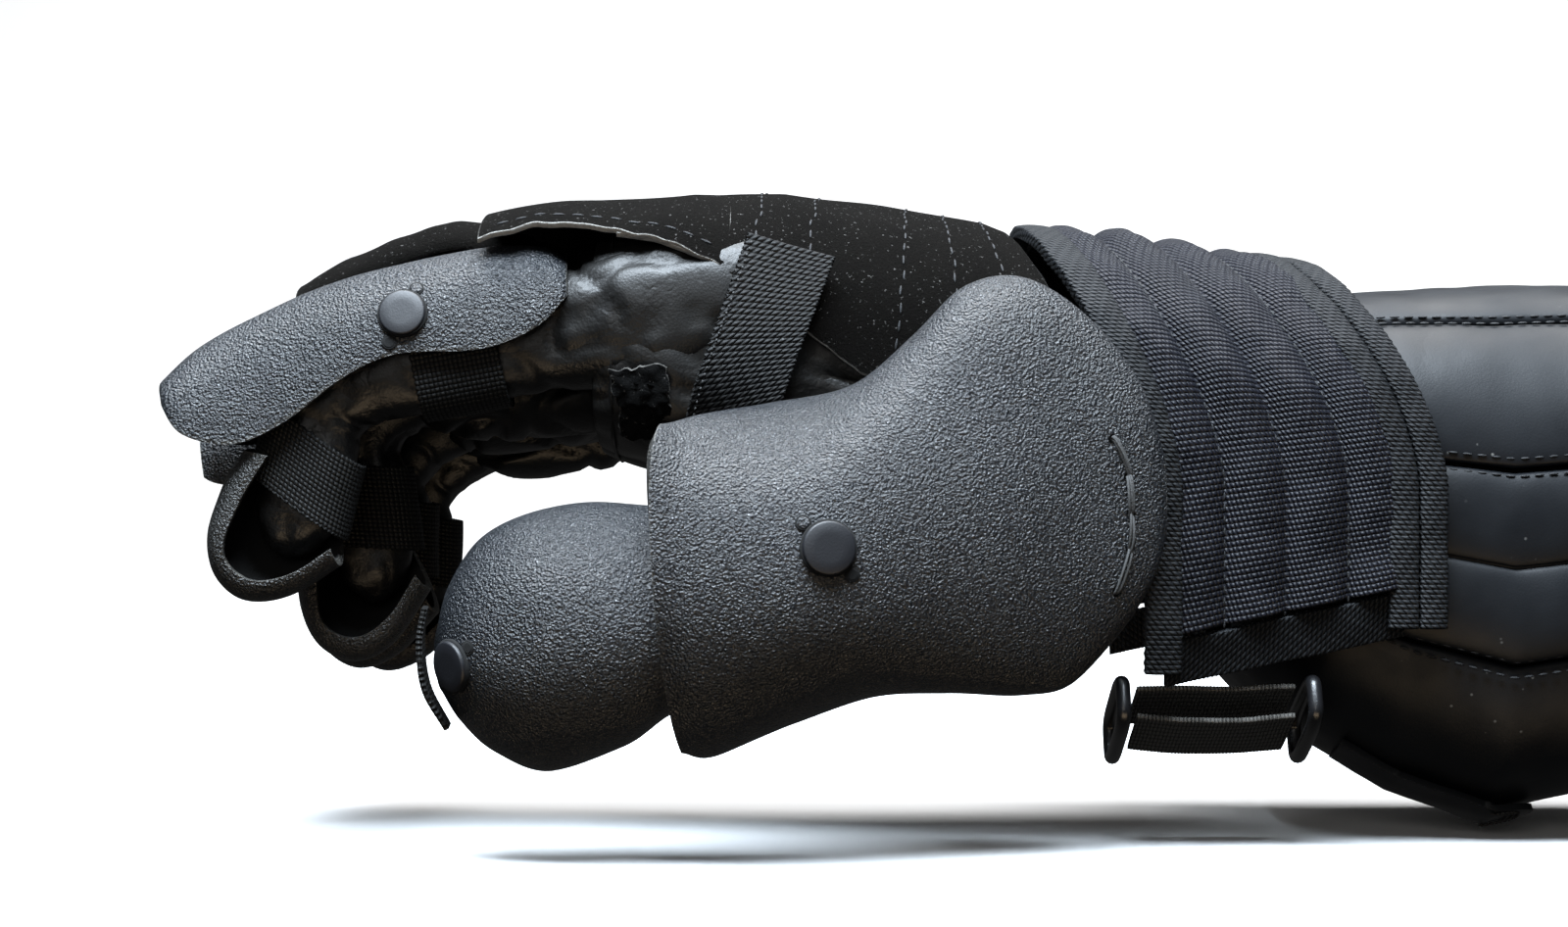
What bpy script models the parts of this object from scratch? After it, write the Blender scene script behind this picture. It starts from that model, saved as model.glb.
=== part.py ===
"""Armoured five-finger glove over a padded forearm guard, built as separate parts.

Frame: origin at the centre of the guard's arm opening, +X from the fingers to the
elbow, +Y to the little finger's side, +Z out of the back of the hand. Tables are in
millimetres, the built meshes are in metres.
"""
import bpy
import math
from mathutils import Vector

MM = 0.001

# Driving dimensions, millimetres
PLATE_T = 2.4
STALL_WALL = 1.2
BAND_T = 1.2
RIVET_R = 5.3
RIVET_H = 1.6
RIVET_SIDE = 0.14
RIVET_TOP = 0.3
GUARD_LENGTH = 183.0
GUARD_PAD = 4.0
KNUCKLE = (-331.4, 45.2)
MIDDLE_JOINT = (-391.9, 33.8)
STITCH_LINE = (-210.0, -63.0)
PLATE_HALF = 14.0
TIP_HALF = 7.8
BASE_HALF = 9.4

# name: (centre y, knuckle z, base length factor, base curl, tip length factor, tip curl)
FINGERS = {
    "index": (-43.0, 45.2, 1.0, 0.0, 1.0, 0.0),
    "middle": (-14.0, 51.5, 1.05, 10.0, 1.14, 12.0),
    "ring": (15.0, 50.5, 1.03, 18.0, 1.05, -4.0),
    "little": (44.0, 43.5, 0.98, 18.0, 1.0, -4.0),
}

for old in list(bpy.data.objects):
    bpy.data.objects.remove(old, do_unlink=True)


def material(name, color, rough, metal=0.0):
    mat = bpy.data.materials.new(name)
    mat.use_nodes = True
    shader = mat.node_tree.nodes["Principled BSDF"]
    shader.inputs["Base Color"].default_value = (*color, 1.0)
    shader.inputs["Roughness"].default_value = rough
    shader.inputs["Metallic"].default_value = metal
    mat.diffuse_color = (*color, 1.0)
    return mat


LOOKS = {
    "plate": ((0.045, 0.05, 0.06), 0.42),
    "rivet": ((0.012, 0.013, 0.018), 0.3),
    "leather": ((0.03, 0.03, 0.032), 0.45),
    "suede": ((0.02, 0.018, 0.018), 0.95),
    "webbing": ((0.025, 0.027, 0.03), 0.8),
    "nylon": ((0.03, 0.035, 0.055), 0.75),
    "vinyl": ((0.035, 0.045, 0.06), 0.4),
    "lining": ((0.02, 0.02, 0.022), 0.95),
    "hook": ((0.012, 0.012, 0.013), 0.9),
    "acetal": ((0.015, 0.016, 0.02), 0.35),
    "thread": ((0.02, 0.02, 0.02), 0.8),
}


def loft(name, rings, look, closed=False):
    """Skin closed rings of points in order. Ends are capped unless the loft closes."""
    count = len(rings[0])
    verts = [Vector(p) * MM for ring in rings for p in ring]
    faces = []
    last = len(rings) if closed else len(rings) - 1
    for i in range(last):
        j = (i + 1) % len(rings)
        for k in range(count):
            m = (k + 1) % count
            faces.append((i * count + k, i * count + m, j * count + m, j * count + k))
    if not closed:
        base = (len(rings) - 1) * count
        for k in range(count // 2 - 1):
            near, far = (k, k + 1), (count - 2 - k, count - 1 - k)
            faces.append((near[1], near[0], far[1], far[0]))
            faces.append((base + near[0], base + near[1], base + far[0], base + far[1]))
    mesh = bpy.data.meshes.new(name)
    mesh.from_pydata([tuple(v) for v in verts], [], faces)
    mesh.validate()
    mesh.update()
    volume = 0.0
    mesh.calc_loop_triangles()
    for tri in mesh.loop_triangles:
        a, b, c = (mesh.vertices[v].co for v in tri.vertices)
        volume += a.dot(b.cross(c))
    if volume < 0:
        mesh.flip_normals()
    for face in mesh.polygons:
        face.use_smooth = True
    color, rough = LOOKS[look]
    mesh.materials.append(material(name, color, rough))
    obj = bpy.data.objects.new(name, mesh)
    bpy.context.scene.collection.objects.link(obj)
    return obj


def set_origin(obj, point):
    """Put the object's origin on its joint's axis without moving the mesh."""
    shift = Vector(point) * MM
    for vert in obj.data.vertices:
        vert.co -= shift
    obj.location = shift


def curve(points, t):
    """Point at t (0 to 1) on a smooth line through the given points."""
    pts = [Vector(p) for p in points]
    span = len(pts) - 1
    s = min(max(t, 0.0), 1.0) * span
    i = min(int(s), span - 1)
    f = s - i
    p1, p2 = pts[i], pts[i + 1]
    p0 = pts[i - 1] if i > 0 else p1 * 2 - p2
    p3 = pts[i + 2] if i + 2 <= span else p2 * 2 - p1
    return 0.5 * (
        2 * p1 + (p2 - p0) * f
        + (2 * p0 - 5 * p1 + 4 * p2 - p3) * f * f
        + (3 * p1 - p0 - 3 * p2 + p3) * f ** 3
    )


def arch_point(near, ridge, far, u, v):
    """Arched shell: three edge lines along u, an elliptical arc from near to far along v."""
    a, r, b = curve(near, u), curve(ridge, u), curve(far, u)
    mid = (a + b) / 2
    angle = math.pi * v
    return mid + (a - b) / 2 * math.cos(angle) + (r - mid) * math.sin(angle)


def facing(point, hint=None):
    """1 or -1, so that the surface's normal points away from its hollow side."""
    e = 0.01
    du = point(0.5 + e, 0.5) - point(0.5 - e, 0.5)
    dv = point(0.5, 0.5 + e) - point(0.5, 0.5 - e)
    if hint is None:
        hint = point(0.5, 0.5) - (point(0.5, 0.0) + point(0.5, 1.0)) / 2
    return 1.0 if du.cross(dv).dot(Vector(hint)) > 0 else -1.0


def shell_rings(point, thickness, nu, nv, offset=0.0, hint=None):
    """Rings across a shell: outer arc forward, inner arc back."""
    rings = []
    e = 0.004
    sign = facing(point, hint)
    for i in range(nu + 1):
        u = i / nu
        outer, inner = [], []
        for k in range(nv + 1):
            v = k / nv
            p = point(u, v)
            du = point(min(u + e, 1), v) - point(max(u - e, 0), v)
            dv = point(u, min(v + e, 1)) - point(u, max(v - e, 0))
            n = du.cross(dv).normalized() * sign
            outer.append(p + n * offset)
            inner.append(p + n * (offset - thickness))
        rings.append(outer + inner[::-1])
    return rings


def disc(name, centre, normal, radius, height, look, sides=14):
    """Low round cap with a softened edge, standing on centre along normal."""
    n = Vector(normal).normalized()
    side = n.cross(Vector((0, 0, 1)) if abs(n.z) < 0.9 else Vector((1, 0, 0))).normalized()
    up = n.cross(side)
    rings = []
    for f, h in ((1.0, 0.0), (1.0, 0.6), (0.86, 1.0)):
        rings.append([
            Vector(centre) + n * h * height
            + (side * math.cos(a) + up * math.sin(a)) * radius * f
            for a in (2 * math.pi * k / sides for k in range(sides))
        ])
    return loft(name, rings, look)


# Rounded tube sections along X: x, middle height, half width, half height, then the
# squareness of the upper and of the lower half
HAND = (
    (-360.0, 43.5, 58.0, 29.5, 3.2, 3.2),
    (-331.5, 42.5, 57.5, 30.5, 3.2, 3.2),
    (-310.0, 42.5, 57.0, 32.0, 3.0, 3.0),
    (-288.0, 39.5, 55.5, 36.0, 2.8, 2.8),
    (-264.0, 33.0, 52.5, 40.0, 2.6, 2.6),
    (-240.0, 25.5, 49.5, 44.0, 2.5, 2.5),
    (-215.0, 17.0, 47.0, 43.5, 2.5, 2.5),
    (-200.0, 14.0, 45.0, 41.5, 2.5, 2.5),
)
CUFF = (
    (-232.0, 9.0, 60.0, 62.5, 2.6, 6.0),
    (-206.0, 9.0, 60.0, 61.0, 2.6, 6.0),
    (-190.0, 9.0, 60.0, 58.0, 2.6, 6.0),
    (-165.0, 8.5, 60.0, 55.0, 2.7, 6.0),
    (-139.0, 8.0, 60.0, 55.0, 2.7, 6.0),
)
GUARD = (
    (-183.0, 9.0, 46.0, 41.0, 2.5, 2.5),
    (-165.0, 2.0, 48.0, 49.0, 2.6, 2.6),
    (-145.0, -3.5, 50.0, 55.5, 2.7, 2.7),
    (-122.0, -7.5, 51.0, 60.0, 2.7, 2.7),
    (-90.0, -4.0, 51.0, 57.0, 2.7, 2.7),
    (-45.0, -1.5, 50.0, 55.0, 2.7, 2.7),
    (0.0, 0.0, 49.0, 53.0, 2.7, 2.7),
)


def section(table, x):
    """Section values at x, straight between the stations with eased corners."""
    if x <= table[0][0]:
        return table[0][1:]
    for a, b in zip(table, table[1:]):
        if x <= b[0]:
            f = (x - a[0]) / (b[0] - a[0])
            return tuple(p + (q - p) * f for p, q in zip(a[1:], b[1:]))
    return table[-1][1:]


def skin(table, x, theta, off, lean=0.0):
    """Point on a tube's skin. theta is 0 on the thumb's side and 90 on top."""
    c, s = math.cos(math.radians(theta)), math.sin(math.radians(theta))
    x -= lean * max(s, 0.0) ** 1.2
    zc, a, b, n, low = section(table, x)
    if s < 0:
        n = low
    y = -math.copysign(abs(c) ** (2 / n), c) * (a + off)
    rise = math.copysign(abs(s) ** (2 / n), s)
    return Vector((x, y, zc + rise * (b + off)))


def theta_at(table, x, z):
    """Angle on the near side at which the tube's skin has height z."""
    zc, a, b, n, low = section(table, x)
    s = (z - zc) / b
    power = n if s > 0 else low
    return math.degrees(math.asin(math.copysign(min(abs(s), 1.0) ** (power / 2), s)))


def hand_lean(x):
    """How far the back of the hand's end leans towards the fingers at x."""
    return 24.0 * min(max((x + 262.0) / 55.0, 0.0), 1.0)


def around(name, table, profile, look, start, end, steps, lean=None):
    """Sweep a profile of (x, offset) points around a tube from start to end degrees."""
    full = abs(end - start) >= 359.9
    rings = []
    for i in range(steps if full else steps + 1):
        theta = start + (end - start) * i / steps
        shape = profile(theta) if callable(profile) else profile
        rings.append([skin(table, x, theta, off, lean(x) if lean else 0.0) for x, off in shape])
    return loft(name, rings, look, closed=full)


def strip(xs, low, high):
    """Profile that runs along xs at the high offset and back at the low one."""
    return [(x, high) for x in xs] + [(x, low) for x in reversed(xs)]


def steps_between(a, b, count):
    return [a + (b - a) * i / count for i in range(count + 1)]


# Finger joints are worked in the finger's own upright plane, as (x, z)
def turn(point, pivot, degrees, stretch=1.0, along=None):
    """Turn a point about a pivot, after stretching it along a direction."""
    v = Vector((point[0] - pivot[0], point[1] - pivot[1]))
    if along is not None:
        d = Vector(along).normalized()
        v = v + d * v.dot(d) * (stretch - 1.0)
    a = math.radians(degrees)
    return Vector((
        pivot[0] + v.x * math.cos(a) - v.y * math.sin(a),
        pivot[1] + v.x * math.sin(a) + v.y * math.cos(a),
    ))


BASE_DIR = (MIDDLE_JOINT[0] - KNUCKLE[0], MIDDLE_JOINT[1] - KNUCKLE[1])
TIP_DIR = (-10.0, -39.3)
BASE_LEN = math.hypot(*BASE_DIR)
END_SLANT = 0.64


def base_place(finger, point):
    y, z, length, curl, tip_length, tip_curl = finger
    p = turn(point, KNUCKLE, curl, length, BASE_DIR)
    return Vector((p.x, p.y + z - KNUCKLE[1]))


def tip_place(finger, point):
    y, z, length, curl, tip_length, tip_curl = finger
    p = turn(point, MIDDLE_JOINT, curl + tip_curl, tip_length, TIP_DIR)
    joint = base_place(finger, MIDDLE_JOINT)
    return Vector((p.x + joint.x - MIDDLE_JOINT[0], p.y + joint.y - MIDDLE_JOINT[1]))


def oval(place, finger, pivot, direction, s, depth, width, slant=0.0, sides=12, power=2.6):
    """Ring across a finger at distance s from pivot along direction."""
    d = Vector(direction).normalized()
    up = Vector((d.y, -d.x))
    points = []
    for k in range(sides):
        a = 2 * math.pi * k / sides
        c, t = math.cos(a), math.sin(a)
        h = math.copysign(abs(t) ** (2 / power), t) * depth
        w = math.copysign(abs(c) ** (2 / power), c) * width
        r = s + slant * h
        p = place(finger, (pivot[0] + d.x * r + up.x * h, pivot[1] + d.y * r + up.y * h))
        points.append(Vector((p.x, finger[0] + w, p.y)))
    return points


PLATE_RIDGE = ((-431.0, 32.4), (-423.2, 39.6), (-411.9, 46.4), (-398.4, 52.7), (-384.9, 57.2),
               (-369.1, 61.0), (-353.3, 63.7), (-343.2, 63.3), (-337.6, 59.9))
PLATE_LIP = ((-429.5, 27.5), (-423.5, 20.2), (-411.9, 18.1), (-400.4, 23.2), (-387.2, 33.1),
             (-375.1, 38.4), (-356.3, 39.5), (-343.6, 44.6), (-336.9, 51.8))
CAP_RIDGE = ((-412.4, 17.0), (-417.4, 8.7), (-420.8, -2.5), (-419.4, -12.7), (-412.2, -19.4),
             (-400.8, -18.5), (-388.4, -11.2))
CAP_LIP = ((-404.6, 15.5), (-410.6, 5.5), (-414.6, -4.6), (-412.8, -10.0), (-407.0, -12.8),
           (-398.9, -11.0), (-390.4, -5.6))


def arch_of(place, finger, ridge, lip, half):
    """Arched plate over a finger, from its ridge line and its lip line."""
    rows = []
    for side in (-1, 0, 1):
        line = ridge if side == 0 else lip
        row = []
        for p in line:
            q = place(finger, p)
            row.append((q.x, finger[0] + side * half, q.y))
        rows.append(row)
    return lambda u, v: arch_point(rows[0], rows[1], rows[2], u, v)


def on_surface(point, u, v):
    e = 0.004
    n = (point(u + e, v) - point(u - e, v)).cross(point(u, v + e) - point(u, v - e))
    return point(u, v), n.normalized() * facing(point)


def make_finger(name, finger):
    y = finger[0]
    knuckle = base_place(finger, KNUCKLE)
    joint = base_place(finger, MIDDLE_JOINT)
    length = BASE_LEN
    outer = [oval(base_place, finger, KNUCKLE, BASE_DIR, s, d, BASE_HALF, slant)
             for s, d, slant in ((-5, 12.2, 0), (6, 13.0, 0), (25, 13.0, 0), (43, 12.8, 0),
                                 (length - 7.5, 12.8, END_SLANT))]
    inner = [oval(base_place, finger, KNUCKLE, BASE_DIR, s, d, BASE_HALF - STALL_WALL, slant)
             for s, d, slant in ((length - 7.5, 11.8, END_SLANT), (43, 11.8, 0), (25, 11.8, 0),
                                 (6, 11.8, 0), (-5, 11.0, 0))]
    stall = loft(f"{name}_stall_base", outer + inner, "leather", closed=True)

    plate_at = arch_of(base_place, finger, PLATE_RIDGE, PLATE_LIP, PLATE_HALF)
    plate = loft(f"{name}_plate", shell_rings(plate_at, PLATE_T, 11, 6), "plate")
    centre, normal = on_surface(plate_at, 0.61, RIVET_SIDE if name == "index" else RIVET_TOP)
    rivet = disc(f"{name}_rivet", centre + normal * 0.7, normal, RIVET_R, RIVET_H, "rivet")

    band = []
    for s, off in ((22, 0.5), (22, 0.5 + BAND_T), (42, 0.5 + BAND_T), (42, 0.5)):
        band.append(oval(base_place, finger, KNUCKLE, BASE_DIR, s, 13.0 + off, BASE_HALF + off))
    base_band = loft(f"{name}_base_band", band, "webbing", closed=True)

    radius = 9.8
    profile = [(-7.0, math.sqrt(radius ** 2 - 49.0)), (-4.0, math.sqrt(radius ** 2 - 16.0)),
               (0.0, radius), (4.0, math.sqrt(radius ** 2 - 16.0)),
               (7.0, 7.6), (13.5, 7.8), (16.5, 10.6), (24.0, 10.6), (33.0, 9.8),
               (38.0, 8.4), (41.0, 6.0), (42.6, 2.6)]
    outer = [oval(tip_place, finger, MIDDLE_JOINT, TIP_DIR, s, d, min(TIP_HALF, d * 0.95))
             for s, d in profile]
    inner = [oval(tip_place, finger, MIDDLE_JOINT, TIP_DIR, min(s, 40.8), d - STALL_WALL,
                  min(TIP_HALF, d * 0.95) - STALL_WALL) for s, d in profile[:-1]]
    tip = loft(f"{name}_stall_tip", inner[::-1] + outer, "leather")

    band = []
    for s, off in ((17.0, 0.5), (17.0, 0.5 + BAND_T), (33, 0.5 + BAND_T), (33, 0.5)):
        band.append(oval(tip_place, finger, MIDDLE_JOINT, TIP_DIR, s, 10.6 + off, TIP_HALF + off))
    tip_band = loft(f"{name}_tip_band", band, "webbing", closed=True)

    cap_at = arch_of(tip_place, finger, CAP_RIDGE, CAP_LIP, 12.6)
    cap = loft(f"{name}_cap", shell_rings(cap_at, 2.0, 7, 5), "plate")

    for obj in (stall, plate, rivet, base_band):
        set_origin(obj, (knuckle.x, y, knuckle.y))
    for obj in (tip, tip_band, cap):
        set_origin(obj, (joint.x, y, joint.y))
    if name != "middle":
        return
    ridge = ((-399.0, 63.5), (-386.0, 68.0), (-372.0, 71.0), (-358.5, 72.5))
    rows = []
    for side in (-1, 0, 1):
        drop = 1.6 if side else 0.0
        row = []
        for p in ridge:
            q = base_place(finger, (p[0], p[1] - drop))
            row.append((q.x, y + side * 12.5, q.y - 0.5))
        rows.append(row)
    cover = loft(f"{name}_back_strip",
                 shell_rings(lambda u, v: arch_point(rows[0], rows[1], rows[2], u, v),
                             1.4, 4, 3), "suede")
    set_origin(cover, (knuckle.x, y, knuckle.y))


for finger_name, finger_row in FINGERS.items():
    make_finger(finger_name, finger_row)

# Hand: open leather tube, suede back, flap, straps
tube_xs = (-331.5, -310, -288, -264, -240, -222, -210)
palm = around("palm_leather", HAND, strip(tube_xs, -1.8, 0.0), "leather", 0, 360, 36, hand_lean)
cutter_rings = []
for yy in (-75.0, -30.0):
    cutter_rings.append([
        (-262.0 + 20.0 * math.cos(math.pi * k / 8), yy, 4.0 + 15.0 * math.sin(math.pi * k / 8))
        for k in range(16)
    ])
cutter = loft("thumb_hole_cutter", cutter_rings, "lining")
cutter.hide_render = True
cutter.display_type = "WIRE"
cut = palm.modifiers.new("thumb_hole", "BOOLEAN")
cut.operation = "DIFFERENCE"
cut.solver = "EXACT"
cut.object = cutter

EDGE = ((-357.5, 64.5), (-344.0, 65.5), (-332.0, 65.0), (-316.6, 62.6), (-303.0, 57.5),
        (-293.5, 50.0), (-283.6, 43.4), (-270.4, 34.0), (-262.0, 32.0), (-240.0, 32.0),
        (-214.0, 32.0))


def edge_height(x):
    for a, b in zip(EDGE, EDGE[1:]):
        if x <= b[0]:
            return a[1] + (b[1] - a[1]) * (x - a[0]) / (b[0] - a[0])
    return EDGE[-1][1]


def back_cover(name, xs, low, high, far_z, look, steps):
    """Sheet over the back of the hand whose near edge follows the EDGE line."""
    rings = []
    for i in range(steps + 1):
        f = i / steps
        top, bottom = [], []
        for x in xs:
            a = theta_at(HAND, x, edge_height(x))
            b = 180 - theta_at(HAND, x, max(edge_height(x) - 6, far_z))
            theta = a + (b - a) * f
            lean = hand_lean(x)
            top.append(skin(HAND, x, theta, high, lean))
            bottom.append(skin(HAND, x, theta, low, lean))
        rings.append(top + bottom[::-1])
    return loft(name, rings, look)


back_cover("knuckle_flap", steps_between(-357.5, -322.5, 3), 1.6, 3.2, 40, "suede", 18)
back_cover("hand_back_suede", steps_between(-321.5, -214.0, 9), 1.6, 3.2, 30, "suede", 18)


def path_strap(name, near_edge, far_edge, thickness, look, steps, across=2, hint=(0, -1, 0)):
    """Flat strap between two edge lines, its outer face towards the hint."""
    def at(u, v):
        return curve(near_edge, u).lerp(curve(far_edge, u), v)
    return loft(name, shell_rings(at, thickness, steps, across, 0.0, hint), look)


def over_hand(points, off):
    """Points given as x, z on the near side, lifted off the hand's skin."""
    return [skin(HAND, x, theta_at(HAND, x, z), off) for x, z in points]


hand_strap = path_strap(
    "hand_strap",
    over_hand(((-296.0, 61.5), (-301.5, 48.0), (-307.5, 34.0), (-312.0, 20.0)), 7.0),
    over_hand(((-276.5, 56.5), (-281.0, 46.5), (-286.0, 35.5), (-290.5, 24.0)), 7.0),
    1.4, "webbing", 8, 4)
path_strap(
    "hook_patch",
    over_hand(((-327.0, 35.0), (-326.0, 28.0), (-324.5, 20.0)), 2.0),
    over_hand(((-314.5, 36.0), (-314.0, 28.0), (-313.5, 20.0)), 2.0),
    1.4, "hook", 6)
# Thumb plate and what is on it
THUMB_N = ((-312.8, -74, 19.6), (-306.6, -68, 24.2), (-290.2, -64, 27.2), (-272.7, -64, 31.2),
           (-259.5, -64, 42.3), (-247.3, -64, 53.4), (-234.1, -64, 55.3), (-219.9, -64, 46.2),
           (-209.1, -64, 32.2), (-203.5, -64, 15.4))
THUMB_R = ((-316.4, -96, -1.3), (-307.7, -96, -9.5), (-292.1, -95, -10.6), (-277.6, -93, -7.5),
           (-260.7, -88, -2.5), (-243.5, -82, 3.7), (-228.1, -76, 8.5), (-215.8, -71.5, 9.0),
           (-206.6, -68, 7.5), (-202.8, -65.4, 6.0))
THUMB_F = ((-310.5, -76, -49.5), (-303.0, -70, -51.0), (-285.8, -65, -44.0), (-267.2, -64, -37.6),
           (-250.7, -64, -37.2), (-235.3, -64, -37.8), (-224.3, -64, -36.0), (-214.5, -64, -25.4),
           (-206.5, -64, -12.5), (-203.0, -64, -3.0))


def thumb_at(u, v):
    return arch_point(THUMB_N, THUMB_R, THUMB_F, u, v)


def surface_near(point, x, z):
    """Parameters whose point is nearest to x, z, by a coarse then a fine search."""
    best = None
    u0, u1, v0, v1 = 0.02, 0.98, 0.05, 0.95
    for _ in range(4):
        for i in range(13):
            for k in range(13):
                u = u0 + (u1 - u0) * i / 12
                v = v0 + (v1 - v0) * k / 12
                p = point(u, v)
                d = (p.x - x) ** 2 + (p.z - z) ** 2
                if best is None or d < best[0]:
                    best = (d, u, v)
        du, dv = (u1 - u0) / 6, (v1 - v0) / 6
        u0, u1 = max(best[1] - du, 0.01), min(best[1] + du, 0.99)
        v0, v1 = max(best[2] - dv, 0.01), min(best[2] + dv, 0.99)
    return best[1], best[2]


thumb_parts = [loft("thumb_plate", shell_rings(thumb_at, 2.6, 15, 10), "plate")]
centre, normal = on_surface(thumb_at, *surface_near(thumb_at, -278.4, -4.6))
thumb_parts.append(disc("thumb_plate_rivet", centre + normal * 0.9, normal, 5.8, 1.8, "rivet", 18))
stitch = []
for x, z in ((-214.6, 19.5), (-211.2, 11.0), (-210.6, 3.0), (-211.0, -5.0), (-213.4, -14.5)):
    p, n = on_surface(thumb_at, *surface_near(thumb_at, x, z))
    stitch.append((p + n * 0.4, n))
rings = []
for i, (p, n) in enumerate(stitch):
    a = stitch[max(i - 1, 0)][0]
    b = stitch[min(i + 1, len(stitch) - 1)][0]
    side = (b - a).normalized().cross(n)
    rings.append([p + side * 0.8, p + n * 0.9 + side * 0.5, p + n * 0.9 - side * 0.5, p - side * 0.8])
thumb_parts.append(loft("thumb_plate_stitch", rings, "thread"))

# Thumb stall: the first ring faces the thumb hole, the last faces the fingers
rings_out, rings_in = [], []
for i in range(6):
    phi = math.radians(90 * i / 5)
    reach = 19.0 + (9.8 - 19.0) * i / 5
    tall = 15.0 + (12.0 - 15.0) * i / 5
    zc = 4.0 + (-17.0 - 4.0) * i / 5
    for store, cut_in in ((rings_out, 0.0), (rings_in, 1.3)):
        ring = []
        for k in range(16):
            t = 2 * math.pi * k / 16
            r = 1.5 + reach + (reach - cut_in) * math.cos(t)
            ring.append(Vector((-288.0 + r * math.cos(phi), -61.2 - r * math.sin(phi),
                                zc + (tall - cut_in) * math.sin(t))))
        store.append(ring)
for x, z in ((-297.0, -20.0), (-311.0, -22.5)):
    for store, cut_in in ((rings_out, 0.0), (rings_in, 1.3)):
        store.append([
            Vector((x, -72.5 - (9.8 - cut_in) * math.cos(t), z + (12.0 - cut_in) * math.sin(t)))
            for t in (2 * math.pi * k / 16 for k in range(16))
        ])
thumb_parts.append(loft("thumb_stall_base", rings_out + rings_in[::-1], "leather", closed=True))
for obj in thumb_parts:
    set_origin(obj, (STITCH_LINE[0], STITCH_LINE[1], 0))

DOME_N = ((-301.5, -66, 2.6), (-317.3, -66, 4.4), (-331.5, -66, 4.8), (-344.5, -66, 2.8),
          (-355.4, -66, -3.0), (-361.9, -66, -12.8), (-364.6, -66, -22.6))
DOME_R = ((-301.1, -87, -19.9), (-316.4, -88, -21.4), (-329.9, -89.5, -23.4),
          (-342.5, -89, -24.4), (-353.4, -85.5, -26.2), (-360.9, -78.5, -28.3), (-365.2, -70.5, -30.2))
DOME_F = ((-301.5, -66, -38.5), (-311.9, -66, -41.5), (-323.0, -66, -49.0), (-340.2, -66, -54.6),
          (-352.1, -66, -50.4), (-359.7, -66, -43.3), (-363.8, -66, -36.7))


def dome_at(u, v):
    return arch_point(DOME_F, DOME_R, DOME_N, u, v)


tip_parts = [loft("thumb_dome", shell_rings(dome_at, 2.4, 10, 10), "plate")]
centre, normal = on_surface(dome_at, *surface_near(dome_at, -359.9, -30.4))
tip_parts.append(disc("thumb_dome_rivet", centre + normal * 0.9, normal, 5.6, 1.6, "rivet"))
joint_x, joint_y = -312.0, -72.5
rings_out, rings_in = [], []
for d, r in ((-5.0, 6.2), (-2.5, 7.6), (0.0, 8.0), (2.5, 7.6), (5.0, 6.6), (11.0, 7.6), (16.0, 9.6),
             (30.0, 9.6), (39.0, 8.2), (43.5, 5.8), (46.0, 2.6)):
    tall = min(11.2, r * 1.14)
    for store, cut_in in ((rings_out, 0.0), (rings_in, 1.2)):
        x = joint_x - min(d, 99 if cut_in == 0 else 44.2)
        store.append([
            Vector((x, joint_y + (r - cut_in) * math.cos(t), -22.8 + (tall - cut_in) * math.sin(t)))
            for t in (2 * math.pi * k / 14 for k in range(14))
        ])
tip_parts.append(loft("thumb_stall_tip", rings_in[-2::-1] + rings_out, "leather"))
tip_parts.append(path_strap(
    "thumb_band",
    ((-368.6, -62, -18.0), (-369.4, -62, -26.0), (-368.0, -62, -36.0), (-363.4, -62, -45.0)),
    ((-367.4, -75, -18.0), (-368.4, -76, -26.0), (-367.2, -76, -36.0), (-362.4, -74, -45.0)),
    1.3, "webbing", 6, 2, (-1, 0, 0)))
for obj in tip_parts:
    set_origin(obj, (joint_x, joint_y, 0))

# Cuff: padded sheet round the wrist, open below, with bound edges
LEAN = 25.0


def puff(count, height):
    """Outer offsets of padded channels side by side."""
    return lambda f: height * abs(math.sin(math.pi * count * f)) ** 0.6


channels = puff(4, 2.6)
cuff_rings = []
for i in range(25):
    f = i / 24
    low, high = [], []
    for k in range(17):
        g = k / 16
        x = -202.5 + (-147.5 + 202.5) * g
        hem_z = -27.0 + 12.0 * g
        a = theta_at(CUFF, x, hem_z)
        theta = a + (180 - 2 * a) * f
        high.append(skin(CUFF, x, theta, -2.6 + channels(g), LEAN))
        low.append(skin(CUFF, x, theta, -4.6, LEAN))
    cuff_rings.append(high + low[::-1])
loft("cuff_pad", cuff_rings, "nylon")


def cuff_tape(name, x0, x1, hem_z, low, high):
    rings = []
    for i in range(25):
        shape = []
        for x, off in ((x0, high), (x1, high), (x1, low), (x0, low)):
            a = theta_at(CUFF, x, hem_z)
            shape.append(skin(CUFF, x, a + (180 - 2 * a) * i / 24, off, LEAN))
        rings.append(shape)
    return loft(name, rings, "webbing")


cuff_tape("cuff_binding_front", -206.5, -203.1, -34.0, -5.2, 0.6)
cuff_tape("cuff_binding_rear", -146.9, -139.0, -24.0, -4.8, -0.8)
for side, name in ((-1, "cuff_hem_near"), (1, "cuff_hem_far")):
    rows = []
    for drop in (0.8, 11.0):
        row = []
        for k in range(5):
            g = k / 4
            x = -202.0 + 54.0 * g
            p = skin(CUFF, x, theta_at(CUFF, x, -27.0 + 12.0 * g), -1.6)
            row.append((p.x, side * (abs(p.y) - drop * 0.25), p.z - drop))
        rows.append(row)
    path_strap(name, rows[0], rows[1], 2.4, "webbing", 8, 2)

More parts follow.
